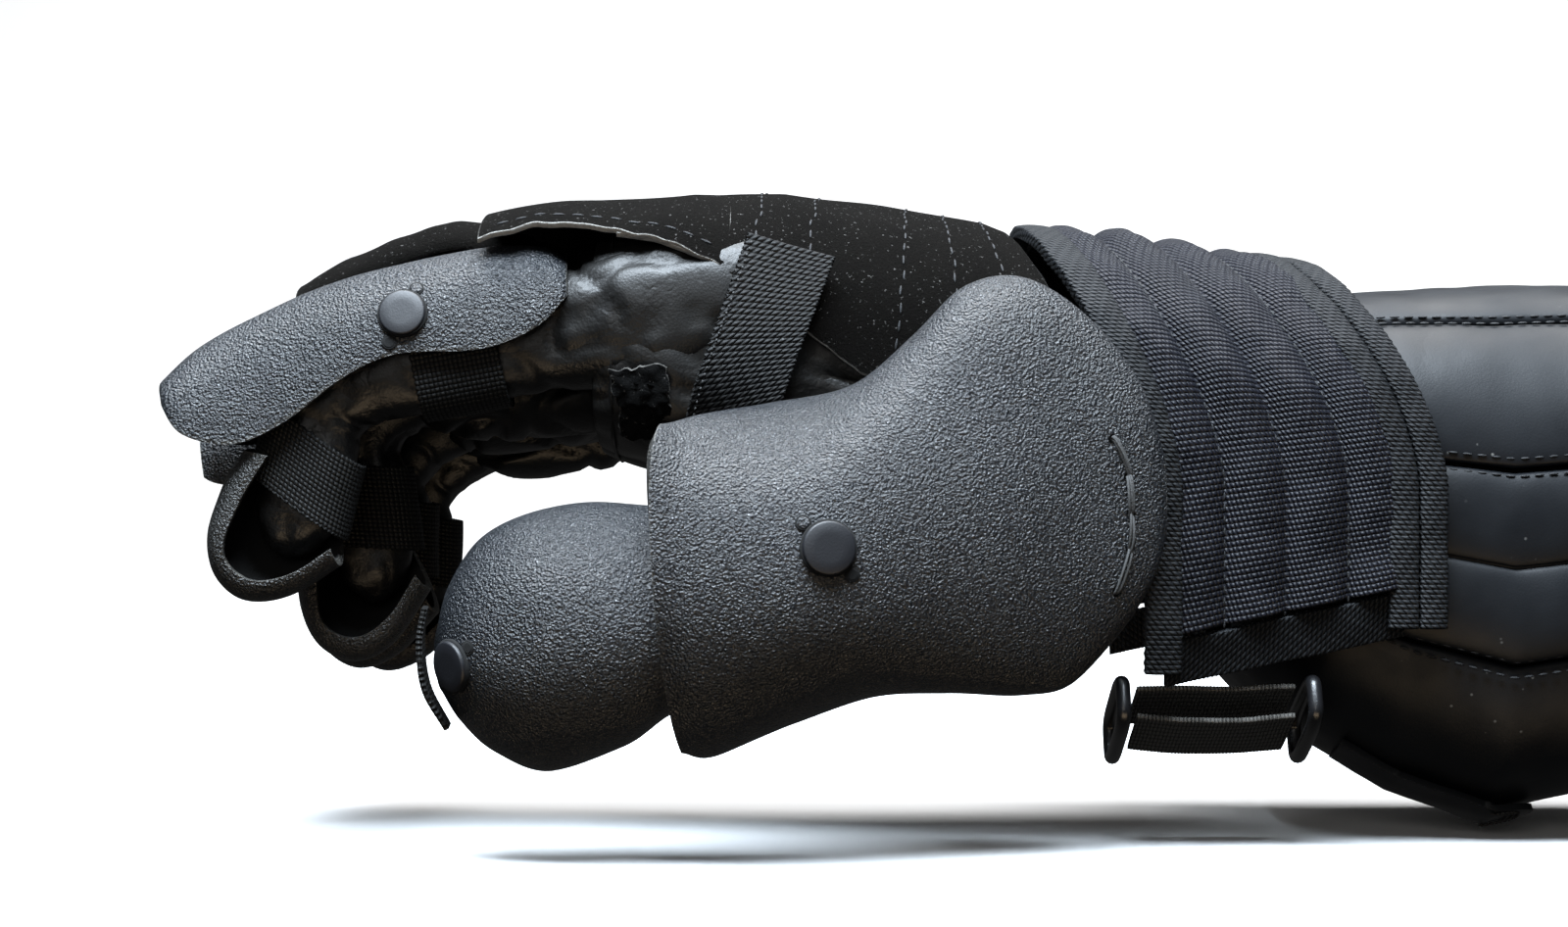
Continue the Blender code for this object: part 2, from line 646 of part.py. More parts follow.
# Forearm guard: lining tube, six padded panels, a tab and the bound arm opening
long_xs = steps_between(-GUARD_LENGTH, -2.6, 8)
around("forearm_liner", GUARD, strip(long_xs, -1.8, 0.0), "lining", 0, 360, 36)
PANELS = {
    "forearm_top": (56.0, 124.0, 3),
    "forearm_near": (13.0, 55.0, 1),
    "forearm_near_channels": (-17.0, 12.0, 2),
    "forearm_far": (125.0, 167.0, 1),
    "forearm_far_channels": (168.0, 197.0, 2),
    "forearm_bottom": (198.0, 342.0, 1),
}
for name, (start, end, ribs) in PANELS.items():
    count = 16 if end - start > 100 else 6 * max(ribs, 1)

    def padded(theta, start=start, end=end, ribs=ribs):
        f = (theta - start) / (end - start)
        puffed = abs(math.sin(math.pi * ribs * f)) ** 0.35
        return strip(long_xs, 0.4, 1.6 + (GUARD_PAD - 1.6) * puffed)
    around(name, GUARD, padded, "vinyl", start, end, count)
around("elbow_binding", GUARD,
       [(-12.0, 4.5), (-12.0, 5.8), (0.0, 5.8), (0.0, -2.4), (-2.0, -2.4), (-2.0, 4.5)],
       "webbing", 0, 360, 36)
tab = []
for i in range(9):
    theta = -61.0 - 16.0 * i / 8
    run = 1.0 - 0.5 * abs(2 * i / 8 - 1) ** 4
    xs = steps_between(-158.0, -112.0 - 12.0 * (1 - run) * 2, 10)
    tab.append([skin(GUARD, x, theta, 6.2) for x in xs] + [skin(GUARD, x, theta, 4.6) for x in reversed(xs)])
loft("forearm_tab", tab, "vinyl")

# Wrist strap with its plastic hardware, closing the cuff under the wrist
STRAP_MID = -43.0
STRAP_HALF = 10.5
TILT = math.radians(26.0)


def strap_edge(x, z, side):
    """Edge of the tilted strap whose middle runs at height z."""
    return (x, STRAP_MID + side * STRAP_HALF * math.cos(TILT), z - side * STRAP_HALF * math.sin(TILT))


def cross_strap(name, line):
    near = [strap_edge(x, z, -1) for x, z in line]
    far = [strap_edge(x, z, 1) for x, z in line]
    return path_strap(name, near, far, 1.4, "webbing", 8, 2, (0, 0, -1))


def frame_link(name, x, z, width, height, bar):
    """Plastic loop: a round bar bent into a rounded rectangle square to the strap."""
    rings = []
    steps = 20
    across = Vector((0, math.cos(TILT), -math.sin(TILT)))
    rise = Vector((0, math.sin(TILT), math.cos(TILT)))
    for i in range(steps):
        a = 2 * math.pi * i / steps
        c, s = math.cos(a), math.sin(a)
        w = math.copysign(abs(c) ** 0.45, c) * width / 2
        h = math.copysign(abs(s) ** 0.45, s) * height / 2
        out = across * c + rise * s
        centre = Vector((x, STRAP_MID, z)) + across * w + rise * h
        rings.append([
            centre + out * bar * math.cos(t) + Vector((bar * math.sin(t), 0, 0))
            for t in (2 * math.pi * k / 6 for k in range(6))
        ])
    return loft(name, rings, "acetal", closed=True)


cross_strap("wrist_strap", ((-208.0, -48.6), (-196.0, -49.6), (-184.0, -49.6), (-172.0, -48.6)))
cross_strap("strap_anchor", ((-208.0, -41.4), (-196.0, -42.0), (-184.0, -41.8), (-172.0, -41.0)))
frame_link("strap_loop_front", -211.5, -45.4, 29.0, 10.5, 1.7)
ring = frame_link("strap_ring_rear", -168.3, -45.2, 29.0, 10.5, 1.7)
set_origin(ring, (-168.3, STRAP_MID, -40.2))
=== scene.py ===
"""Looks for the armoured glove and forearm guard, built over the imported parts.

Tables are in millimetres, in the part's frame: +X from the fingers to the elbow, +Y to
the little finger's side, +Z out of the back of the hand. Meshes are made in metres.
"""
import math
import random
import bpy
import numpy as np
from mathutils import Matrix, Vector, noise


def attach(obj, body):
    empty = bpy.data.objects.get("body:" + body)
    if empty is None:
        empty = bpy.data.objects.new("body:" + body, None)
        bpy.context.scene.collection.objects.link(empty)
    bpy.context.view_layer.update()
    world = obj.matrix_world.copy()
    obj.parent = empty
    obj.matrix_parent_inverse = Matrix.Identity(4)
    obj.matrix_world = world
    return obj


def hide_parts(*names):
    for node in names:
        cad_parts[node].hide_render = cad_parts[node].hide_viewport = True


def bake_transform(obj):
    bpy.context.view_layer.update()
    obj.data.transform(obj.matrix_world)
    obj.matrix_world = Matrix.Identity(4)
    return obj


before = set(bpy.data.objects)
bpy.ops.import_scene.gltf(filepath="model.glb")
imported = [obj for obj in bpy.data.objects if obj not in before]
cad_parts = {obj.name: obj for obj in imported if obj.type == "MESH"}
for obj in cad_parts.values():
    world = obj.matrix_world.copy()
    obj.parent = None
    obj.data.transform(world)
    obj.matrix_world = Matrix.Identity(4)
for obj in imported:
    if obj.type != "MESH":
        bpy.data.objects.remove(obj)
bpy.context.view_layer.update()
MM = 0.001

# ---------------------------------------------------------------- shader building


def new_group(name, inputs, outputs):
    """Shader node group with named sockets. Inputs are (name, default)."""
    tree = bpy.data.node_groups.new(name, "ShaderNodeTree")
    for label, value in inputs:
        kind = "NodeSocketColor" if isinstance(value, tuple) else "NodeSocketFloat"
        socket = tree.interface.new_socket(label, in_out="INPUT", socket_type=kind)
        socket.default_value = value
    for label, kind in outputs:
        tree.interface.new_socket(label, in_out="OUTPUT", socket_type="NodeSocket" + kind)
    return tree, tree.nodes.new("NodeGroupInput"), tree.nodes.new("NodeGroupOutput")


class Wiring:
    """Short words for adding shader nodes to one tree."""

    def __init__(self, tree):
        self.tree = tree

    def node(self, kind, **settings):
        item = self.tree.nodes.new(kind)
        for key, value in settings.items():
            setattr(item, key, value)
        return item

    def plug(self, value, socket):
        if isinstance(value, bpy.types.NodeSocket):
            self.tree.links.new(value, socket)
        else:
            socket.default_value = value

    def math(self, operation, a, b=0.0, clamp=False):
        item = self.node("ShaderNodeMath", operation=operation, use_clamp=clamp)
        self.plug(a, item.inputs[0])
        self.plug(b, item.inputs[1])
        return item.outputs[0]

    def noise(self, vector, scale, detail=3.0, rough=0.6):
        item = self.node("ShaderNodeTexNoise")
        self.plug(vector, item.inputs["Vector"])
        self.plug(scale, item.inputs["Scale"])
        item.inputs["Detail"].default_value = detail
        item.inputs["Roughness"].default_value = rough
        return item.outputs["Fac"]

    def cells(self, vector, scale, feature="F1"):
        item = self.node("ShaderNodeTexVoronoi", feature=feature)
        self.plug(vector, item.inputs["Vector"])
        self.plug(scale, item.inputs["Scale"])
        return item.outputs["Distance"]

    def span(self, value, low, high, to_low=0.0, to_high=1.0):
        item = self.node("ShaderNodeMapRange")
        item.clamp = True
        for socket, v in zip(item.inputs[:5], (value, low, high, to_low, to_high)):
            self.plug(v, socket)
        return item.outputs[0]

    def blend(self, factor, a, b):
        item = self.node("ShaderNodeMix", data_type="RGBA")
        self.plug(factor, item.inputs[0])
        self.plug(a, item.inputs[6])
        self.plug(b, item.inputs[7])
        return item.outputs[2]

    def place(self):
        return self.node("ShaderNodeTexCoord").outputs["Object"]


def group_orange_peel():
    """Moulded pebble of thermoplastic sheet: height and light and dark tone."""
    tree, put, out = new_group(
        "moulded_pebble", [("Scale", 700.0)], [("Height", "Float"), ("Tone", "Float")])
    w = Wiring(tree)
    p = w.place()
    pebble = w.noise(p, put.outputs["Scale"], 2.0, 0.55)
    domes = w.span(w.cells(p, w.math("MULTIPLY", put.outputs["Scale"], 0.8)), 0.1, 0.75, 1.0, 0.0)
    crisp = w.math("MULTIPLY", w.span(pebble, 0.36, 0.64), 0.55)
    sharp = w.math("ADD", crisp, w.math("MULTIPLY", domes, 0.45))
    broad = w.noise(p, 46.0, 3.0, 0.6)
    w.plug(sharp, out.inputs["Height"])
    mixed = w.math("ADD", w.math("MULTIPLY", sharp, 0.55), w.math("MULTIPLY", broad, 0.45))
    w.plug(mixed, out.inputs["Tone"])
    return tree


def group_weave():
    """Plain weave on the piece's own UV map, which is in metres."""
    tree, put, out = new_group(
        "plain_weave", [("Along", 600.0), ("Across", 600.0), ("Skew", 0.0)],
        [("Height", "Float"), ("Gap", "Float")])
    w = Wiring(tree)
    uv = w.node("ShaderNodeTexCoord").outputs["UV"]
    axes = w.node("ShaderNodeSeparateXYZ")
    w.plug(uv, axes.inputs[0])
    across = w.math("ADD", axes.outputs["Y"], w.math("MULTIPLY", axes.outputs["X"], put.outputs["Skew"]))
    a = w.math("MULTIPLY", axes.outputs["X"], put.outputs["Along"])
    b = w.math("MULTIPLY", across, put.outputs["Across"])
    parity = w.math("MODULO", w.math("ADD", w.math("FLOOR", a), w.math("FLOOR", b)), 2.0)
    parity = w.math("ABSOLUTE", parity)
    sa = w.math("ABSOLUTE", w.math("SINE", w.math("MULTIPLY", a, math.pi)))
    sb = w.math("ABSOLUTE", w.math("SINE", w.math("MULTIPLY", b, math.pi)))
    warp = w.math("MULTIPLY", w.math("POWER", sa, 0.6), w.math("ADD", w.math("MULTIPLY", sb, 0.45), 0.55))
    weft = w.math("MULTIPLY", w.math("POWER", sb, 0.6), w.math("ADD", w.math("MULTIPLY", sa, 0.45), 0.55))
    mix = w.node("ShaderNodeMix", data_type="FLOAT")
    w.plug(parity, mix.inputs[0])
    w.plug(warp, mix.inputs[2])
    w.plug(weft, mix.inputs[3])
    w.plug(mix.outputs[0], out.inputs["Height"])
    w.plug(w.span(mix.outputs[0], 0.25, 0.55, 1.0, 0.0), out.inputs["Gap"])
    return tree


def group_grain():
    """Leather grain with soft creases: height and tone."""
    tree, put, out = new_group(
        "leather_grain", [("Grain", 900.0), ("Crease", 70.0)], [("Height", "Float"), ("Tone", "Float")])
    w = Wiring(tree)
    p = w.place()
    pores = w.cells(p, put.outputs["Grain"])
    crease = w.noise(p, put.outputs["Crease"], 4.0, 0.62)
    ridge = w.math("ABSOLUTE", w.math("SUBTRACT", crease, 0.5))
    fold = w.span(ridge, 0.0, 0.06)
    height = w.math("ADD", w.math("MULTIPLY", pores, 0.35), w.math("MULTIPLY", fold, 0.65))
    w.plug(height, out.inputs["Height"])
    w.plug(w.noise(p, 38.0, 3.0), out.inputs["Tone"])
    return tree


def group_nap():
    """Brushed nap of suede: height, tone and pale fibres."""
    tree, put, out = new_group(
        "suede_nap", [("Fibre", 1900.0)], [("Height", "Float"), ("Tone", "Float"), ("Lint", "Float")])
    w = Wiring(tree)
    p = w.place()
    fibre = w.noise(p, put.outputs["Fibre"], 4.0, 0.75)
    patch = w.noise(p, 75.0, 4.0, 0.65)
    w.plug(fibre, out.inputs["Height"])
    w.plug(w.math("ADD", w.math("MULTIPLY", patch, 0.6), w.math("MULTIPLY", fibre, 0.4)), out.inputs["Tone"])
    w.plug(w.span(w.noise(p, 1250.0, 2.0), 0.66, 0.72), out.inputs["Lint"])
    return tree


def group_specks():
    """Scattered dust specks as a mask."""
    tree, put, out = new_group("dust_specks", [("Scale", 260.0)], [("Mask", "Float")])
    w = Wiring(tree)
    d = w.cells(w.place(), put.outputs["Scale"])
    field = w.noise(w.place(), 30.0, 2.0)
    w.plug(w.math("MULTIPLY", w.span(d, 0.05, 0.11, 1.0, 0.0), w.span(field, 0.5, 0.62)), out.inputs["Mask"])
    return tree


PEBBLE, WEAVE, GRAIN = group_orange_peel(), group_weave(), group_grain()
NAP, SPECKS = group_nap(), group_specks()


def finish(name):
    """New material: its wiring helper and its Principled shader."""
    mat = bpy.data.materials.new(name)
    mat.use_nodes = True
    return mat, Wiring(mat.node_tree), mat.node_tree.nodes["Principled BSDF"]


def use(w, tree, **values):
    item = w.node("ShaderNodeGroup")
    item.node_tree = tree
    for key, value in values.items():
        item.inputs[key].default_value = value
    return item


def bump(w, shader, height, depth, strength=1.0, base=None):
    item = w.node("ShaderNodeBump")
    item.inputs["Strength"].default_value = strength
    item.inputs["Distance"].default_value = depth
    w.plug(height, item.inputs["Height"])
    if base is not None:
        w.plug(base, item.inputs["Normal"])
    w.plug(item.outputs[0], shader.inputs["Normal"])
    return item.outputs[0]


def rim_mask(w, low=0.25, high=0.9):
    item = w.node("ShaderNodeAttribute")
    item.attribute_name = "rim"
    worn = w.noise(w.place(), 420.0, 3.0, 0.7)
    return w.math("MULTIPLY", w.span(item.outputs["Fac"], low, high), w.span(worn, 0.38, 0.62, 0.15, 1.0))


def make_plate(name, dark, light, rough, depth, scale=700.0, worn=(0.10, 0.094, 0.082, 1)):
    mat, w, sh = finish(name)
    peel = use(w, PEBBLE, Scale=scale)
    dust = use(w, SPECKS)
    colour = w.blend(peel.outputs["Tone"], (*dark, 1), (*light, 1))
    colour = w.blend(w.math("MULTIPLY", rim_mask(w), 0.6), colour, worn)
    colour = w.blend(w.math("MULTIPLY", dust.outputs["Mask"], 0.35), colour, (0.12, 0.12, 0.12, 1))
    w.plug(colour, sh.inputs["Base Color"])
    w.plug(w.span(peel.outputs["Tone"], 0.2, 0.8, rough + 0.08, rough - 0.08), sh.inputs["Roughness"])
    sh.inputs["Specular IOR Level"].default_value = 0.5
    bump(w, sh, peel.outputs["Height"], depth)
    return mat


def make_cloth(name, dark, light, along, across, depth, skew=0.0, rough=0.72, sheen=0.02, lint=0.0):
    mat, w, sh = finish(name)
    weave = use(w, WEAVE, Along=along, Across=across, Skew=skew)
    tone = w.noise(w.place(), 60.0, 3.0)
    colour = w.blend(weave.outputs["Height"], (*dark, 1), (*light, 1))
    colour = w.blend(w.math("MULTIPLY", tone, 0.35), colour, (*dark, 1))
    if lint:
        dust = use(w, SPECKS, Scale=400.0)
        colour = w.blend(w.math("MULTIPLY", dust.outputs["Mask"], lint), colour, (0.35, 0.35, 0.34, 1))
    w.plug(colour, sh.inputs["Base Color"])
    w.plug(w.span(weave.outputs["Gap"], 0.0, 1.0, rough - 0.12, 0.95), sh.inputs["Roughness"])
    sh.inputs["Sheen Weight"].default_value = sheen
    sh.inputs["Specular IOR Level"].default_value = 0.22
    bump(w, sh, weave.outputs["Height"], depth)
    return mat


def make_leather(name, dark, light, rough, grain, crease, depth, dust_amount=0.0, gloss=0.5):
    mat, w, sh = finish(name)
    g = use(w, GRAIN, Grain=grain, Crease=crease)
    colour = w.blend(g.outputs["Tone"], (*dark, 1), (*light, 1))
    if dust_amount:
        dust = use(w, SPECKS)
        colour = w.blend(w.math("MULTIPLY", dust.outputs["Mask"], dust_amount), colour, (0.4, 0.4, 0.38, 1))
    w.plug(colour, sh.inputs["Base Color"])
    w.plug(w.span(g.outputs["Tone"], 0.3, 0.7, rough - 0.07, rough + 0.1), sh.inputs["Roughness"])
    sh.inputs["Specular IOR Level"].default_value = gloss
    bump(w, sh, g.outputs["Height"], depth)
    return mat


def make_suede(name, dark, light, lint):
    mat, w, sh = finish(name)
    n = use(w, NAP)
    colour = w.blend(n.outputs["Tone"], (*dark, 1), (*light, 1))
    colour = w.blend(w.math("MULTIPLY", n.outputs["Lint"], lint), colour, (0.10, 0.095, 0.09, 1))
    colour = w.blend(w.math("MULTIPLY", rim_mask(w, 0.6, 0.95), 0.5), colour, (0.2, 0.19, 0.175, 1))
    w.plug(colour, sh.inputs["Base Color"])
    sh.inputs["Roughness"].default_value = 0.95
    sh.inputs["Specular IOR Level"].default_value = 0.05
    bump(w, sh, n.outputs["Height"], 0.0005)
    return mat


def make_plain(name, colour, rough, depth=0.00004, scale=2400.0):
    mat, w, sh = finish(name)
    n = w.noise(w.place(), scale, 2.0)
    darker = (*[c * 0.75 for c in colour], 1)
    lighter = (*[c * 1.2 for c in colour], 1)
    w.plug(w.blend(n, darker, lighter), sh.inputs["Base Color"])
    sh.inputs["Roughness"].default_value = rough
    bump(w, sh, n, depth)
    return mat


MAT = {
    # Plates: dark tone, light tone, roughness, pebble height, pebbles per metre
    "plate": make_plate("pebbled_thermoplastic", (0.004, 0.0045, 0.0055), (0.017, 0.020, 0.025),
                        0.34, 0.00042, 1700.0),
    "cap": make_plate("pebbled_thermoplastic_cap", (0.005, 0.005, 0.005), (0.02, 0.0195, 0.018),
                      0.40, 0.00038, 1700.0),
    "rivet": make_plain("smooth_rivet_cap", (0.004, 0.0045, 0.007), 0.52),
    # Near-black matte look that stands in for shade: painted shade on the plates' inner faces, in the rings
    # round rivet caps and keyholes, and in the open keyholes.
    "hole": make_plain("painted_shade_black", (0.001, 0.001, 0.001), 0.95),
    "leather": make_leather("glove_leather", (0.002, 0.002, 0.002), (0.009, 0.0085, 0.0078),
                            0.46, 1700, 60, 0.00012, gloss=0.4),
    "vinyl": make_leather("guard_synthetic_leather", (0.0025, 0.003, 0.004), (0.007, 0.0085, 0.011),
                          0.50, 1900, 22, 0.00004, dust_amount=0.35, gloss=0.26),
    "suede": make_suede("black_suede", (0.0005, 0.0004, 0.0003), (0.0050, 0.0043, 0.0036), 0.7),
    "cut_edge": make_plain("pale_cut_edge", (0.34, 0.33, 0.31), 0.9, 0.0004, 1100.0),
    # Woven goods: dark tone, light tone, threads per metre each way, thread height
    "webbing": make_cloth("finger_webbing", (0.0008, 0.0008, 0.0008), (0.015, 0.015, 0.0145),
                          850, 950, 0.0005, sheen=0.0),
    # The strap's light tone is raised far above the finger webbing's: painted light, making up for the cuff's
    # shade over the strap.
    "strap": make_cloth("strap_webbing", (0.01, 0.0095, 0.009), (0.12, 0.115, 0.105), 1100, 420, 0.0007),
    "elastic": make_cloth("hand_elastic", (0.0006, 0.0006, 0.0006), (0.009, 0.009, 0.0092),
                          700, 620, 0.0006, skew=0.6, sheen=0.0, lint=0.25),
    "nylon": make_cloth("ballistic_nylon", (0.0006, 0.0007, 0.0014), (0.011, 0.012, 0.019),
                        780, 920, 0.0006, skew=0.35, rough=0.6, sheen=0.0),
    "tape": make_cloth("binding_tape", (0.0008, 0.001, 0.0014), (0.012, 0.0135, 0.016),
                       900, 620, 0.0005, skew=0.8, sheen=0.0, lint=0.15),
    "lining": make_suede("lining_cloth", (0.001, 0.001, 0.001), (0.004, 0.004, 0.004), 0.1),
    "hook": make_suede("hook_pile", (0.001, 0.001, 0.001), (0.010, 0.010, 0.010), 0.8),
    "acetal": make_plain("moulded_hardware", (0.008, 0.008, 0.009), 0.32),
    "thread": make_plain("heavy_thread", (0.006, 0.0065, 0.008), 0.7, 0.0002, 3500.0),
    "pale_thread": make_plain("frayed_thread", (0.05, 0.05, 0.05), 0.8, 0.0002, 3500.0),
}

# ---------------------------------------------------------------- mesh building


def loft(name, rings, look, closed=False, rim=None):
    """Skin rings of points, an array of (ring, point, xyz) in millimetres, with UVs in metres."""
    rings = np.asarray(rings, float)
    count_r, count_p = rings.shape[:2]
    verts = rings.reshape(-1, 3) * MM
    across = np.linalg.norm(np.roll(rings, -1, axis=1) - rings, axis=2)
    v_at = np.concatenate([np.zeros((count_r, 1)), np.cumsum(across, axis=1)], axis=1).mean(axis=0) * MM
    along = np.linalg.norm(np.roll(rings, -1, axis=0) - rings, axis=2).mean(axis=1)
    u_at = np.concatenate([[0.0], np.cumsum(along)]) * MM
    faces, uvs = [], []
    for i in range(count_r if closed else count_r - 1):
        j = (i + 1) % count_r
        for k in range(count_p):
            m = (k + 1) % count_p
            faces.append((i * count_p + k, i * count_p + m, j * count_p + m, j * count_p + k))
            uvs += [(u_at[i], v_at[k]), (u_at[i], v_at[k + 1])]
            uvs += [(u_at[i + 1], v_at[k + 1]), (u_at[i + 1], v_at[k])]
    if not closed:
        base = (count_r - 1) * count_p
        for k in range(count_p // 2 - 1):
            a, b, c, d = k, k + 1, count_p - 2 - k, count_p - 1 - k
            faces.append((b, a, d, c))
            uvs += [(0.0, v_at[x]) for x in (b, a, a, b)]
            faces.append((base + a, base + b, base + c, base + d))
            uvs += [(u_at[-2], v_at[x]) for x in (a, b, b, a)]
    mesh = bpy.data.meshes.new(name)
    mesh.from_pydata(verts.tolist(), [], faces)
    layer = mesh.uv_layers.new(name="UVMap")
    layer.data.foreach_set("uv", np.asarray(uvs, float).ravel())
    mesh.calc_loop_triangles()
    co = np.asarray(verts)
    idx = np.array([t.vertices[:] for t in mesh.loop_triangles])
    a, b, c = co[idx[:, 0]], co[idx[:, 1]], co[idx[:, 2]]
    if np.einsum("ij,ij->i", a, np.cross(b, c)).sum() < 0:
        mesh.flip_normals()
    attr = mesh.attributes.new("rim", "FLOAT", "POINT")
    values = np.zeros(count_r * count_p) if rim is None else np.asarray(rim, float).ravel()
    attr.data.foreach_set("value", values)
    mesh.shade_smooth()
    mesh.materials.append(MAT[look])
    obj = bpy.data.objects.new(name, mesh)
    bpy.context.scene.collection.objects.link(obj)
    return obj


def spread(points, count):
    """Even samples of a smooth line through the points, as an array."""
    pts = np.asarray(points, float)
    span = len(pts) - 1
    ts = np.linspace(0, span, count)
    i = np.minimum(ts.astype(int), span - 1)
    f = (ts - i)[:, None]
    first = np.vstack([2 * pts[0] - pts[1], pts])
    p0, p1, p2 = first[i], pts[i], pts[i + 1]
    after = np.vstack([pts, 2 * pts[-1] - pts[-2]])
    p3 = after[i + 2]
    return 0.5 * (2 * p1 + (p2 - p0) * f + (2 * p0 - 5 * p1 + 4 * p2 - p3) * f ** 2
                  + (3 * p1 - p0 - 3 * p2 + p3) * f ** 3)


def arch_grid(near, ridge, far, nu, nv, start=0.0, end=1.0):
    """Grid over three edge lines joined by elliptical arcs."""
    a, r, b = (spread(p, nu + 1)[:, None] for p in (near, ridge, far))
    angle = np.pi * np.linspace(start, end, nv + 1)[None, :, None]
    mid = (a + b) / 2
    return mid + (a - b) / 2 * np.cos(angle) + (r - mid) * np.sin(angle)


def normals_of(grid, hint=None, closed=False):
    """Unit normals of a grid, on the hint's side at its middle. Closed grids wrap on the first axis."""
    du = np.roll(grid, -1, 0) - np.roll(grid, 1, 0) if closed else np.gradient(grid, axis=0)
    dv = np.gradient(grid, axis=1)
    n = np.cross(du, dv)
    n /= np.maximum(np.linalg.norm(n, axis=2, keepdims=True), 1e-9)
    c0, c1 = grid.shape[0] // 2, grid.shape[1] // 2
    if closed:
        return n if (n * (grid - grid.mean(axis=0))).sum() > 0 else -n
    if hint is None:
        hint = grid[c0, c1] - (grid[c0, 0] + grid[c0, -1]) / 2
    return n if np.dot(n[c0, c1], hint) > 0 else -n


def shell(name, grid, thickness, look, hint=None, lift=None, soften=0.55, out=0.0, closed=False, base=None,
          inside=None, cut=None):
    """Sheet with its outer face on the grid. Lift moves the outer face along the normal, and the inner
    face with it unless base gives the inner face's own height. Inside and cut are the looks of the
    inner face and of the edges, where they differ."""
    if hint is None and grid.shape[0] > 2:
        c0, c1 = grid.shape[0] // 2, grid.shape[1] // 2
        hint = grid[c0, c1] - (grid[c0, 0] + grid[c0, -1]) / 2
        if np.linalg.norm(hint) < 0.5:
            hint = grid[c0, c1] - (grid[0, c1] + grid[-1, c1]) / 2
    n = normals_of(grid, hint, closed)
    start = grid
    if lift is not None:
        grid = grid + n * lift(grid)[..., None]
    outer = grid + n * out
    inner = start + n * base if base is not None else grid + n * (out - thickness)
    rings = np.concatenate([outer, inner[:, ::-1]], axis=1)
    r, k = grid.shape[:2]
    edge = np.zeros((r, k))
    edge[:, 0] = edge[:, -1] = 1
    if not closed:
        edge[0] = edge[-1] = 1
    obj = loft(name, rings, look, closed, rim=np.concatenate([edge, edge[:, ::-1]], axis=1))
    for extra in (inside or look, cut or look):
        obj.data.materials.append(MAT[extra])
    slots = np.zeros(len(obj.data.polygons), np.int32)
    body_faces = (r if closed else r - 1) * 2 * k
    column = np.arange(body_faces) % (2 * k)
    slots[:body_faces][(column >= k) & (column < 2 * k - 1)] = 1
    slots[:body_faces][(column == k - 1) | (column == 2 * k - 1)] = 2
    slots[body_faces:] = 2
    obj.data.polygons.foreach_set("material_index", slots)
    if soften:
        bevel = obj.modifiers.new("rim", "BEVEL")
        bevel.width = soften * MM
        bevel.segments = 3
        bevel.limit_method = "ANGLE"
        bevel.angle_limit = 0.9
    return obj


def wrinkle(scale, height, seed=0.0, stretch=(1, 1, 1)):
    """Lift function made of ridged noise, the same each time."""
    def lift(grid):
        flat = grid.reshape(-1, 3)
        spots = flat * np.array(stretch) / scale + np.array((seed, seed * 1.7, -seed))
        out = np.array([noise.noise(p) for p in spots.tolist()]) * height
        return out.reshape(grid.shape[:2])
    return lift


def creased(scale, depth, seed=0.0, stretch=(1, 1, 1), width=5.0):
    """Lift function for leather: narrow valleys with full skin between them."""
    base = wrinkle(scale, 1.0, seed, stretch)
    return lambda grid: -depth * np.maximum(0.0, 1.0 - np.abs(base(grid)) * width)


def keep(obj):
    """Turn the object's modifiers into mesh."""
    dg = bpy.context.evaluated_depsgraph_get()
    mesh = bpy.data.meshes.new_from_object(obj.evaluated_get(dg), preserve_all_data_layers=True, depsgraph=dg)
    obj.modifiers.clear()
    old = obj.data
    obj.data = mesh
    mesh.name = obj.name
    bpy.data.meshes.remove(old)
    return obj


def pierce(obj, spots):
    """Round holes through a shell: each spot is (centre, direction, radius)."""
    cutters = []
    for centre, direction, radius in spots:
        d = Vector(direction).normalized()
        side = d.orthogonal().normalized()
        up = d.cross(side)
        rings = []
        for h in (-6.0, 6.0):
            rings.append([Vector(centre) + d * h + (side * math.cos(a) + up * math.sin(a)) * radius
                          for a in (2 * math.pi * k / 20 for k in range(20))])
        cutter = loft(obj.name + "_drill", rings, "hole")
        cutter.hide_render = True
        cutters.append(cutter)
        mod = obj.modifiers.new("drill", "BOOLEAN")
        mod.operation = "DIFFERENCE"
        mod.solver = "EXACT"
        mod.object = cutter
    bevels = [m for m in obj.modifiers if m.type == "BEVEL"]
    for m in bevels:
        obj.modifiers.move(obj.modifiers.find(m.name), len(obj.modifiers) - 1)
    keep(obj)
    for cutter in cutters:
        bpy.data.objects.remove(cutter, do_unlink=True)
    return obj


def turned(name, centre, normal, profile, look, sides=40):
    """Round piece from a profile of (radius, height), closed at both ends."""
    n = Vector(normal).normalized()
    side = n.orthogonal().normalized()
    up = n.cross(side)
    rings = [[Vector(centre) + n * h + (side * math.cos(a) + up * math.sin(a)) * r
              for a in (2 * math.pi * k / sides for k in range(sides))] for r, h in profile]
    return loft(name, rings, look)


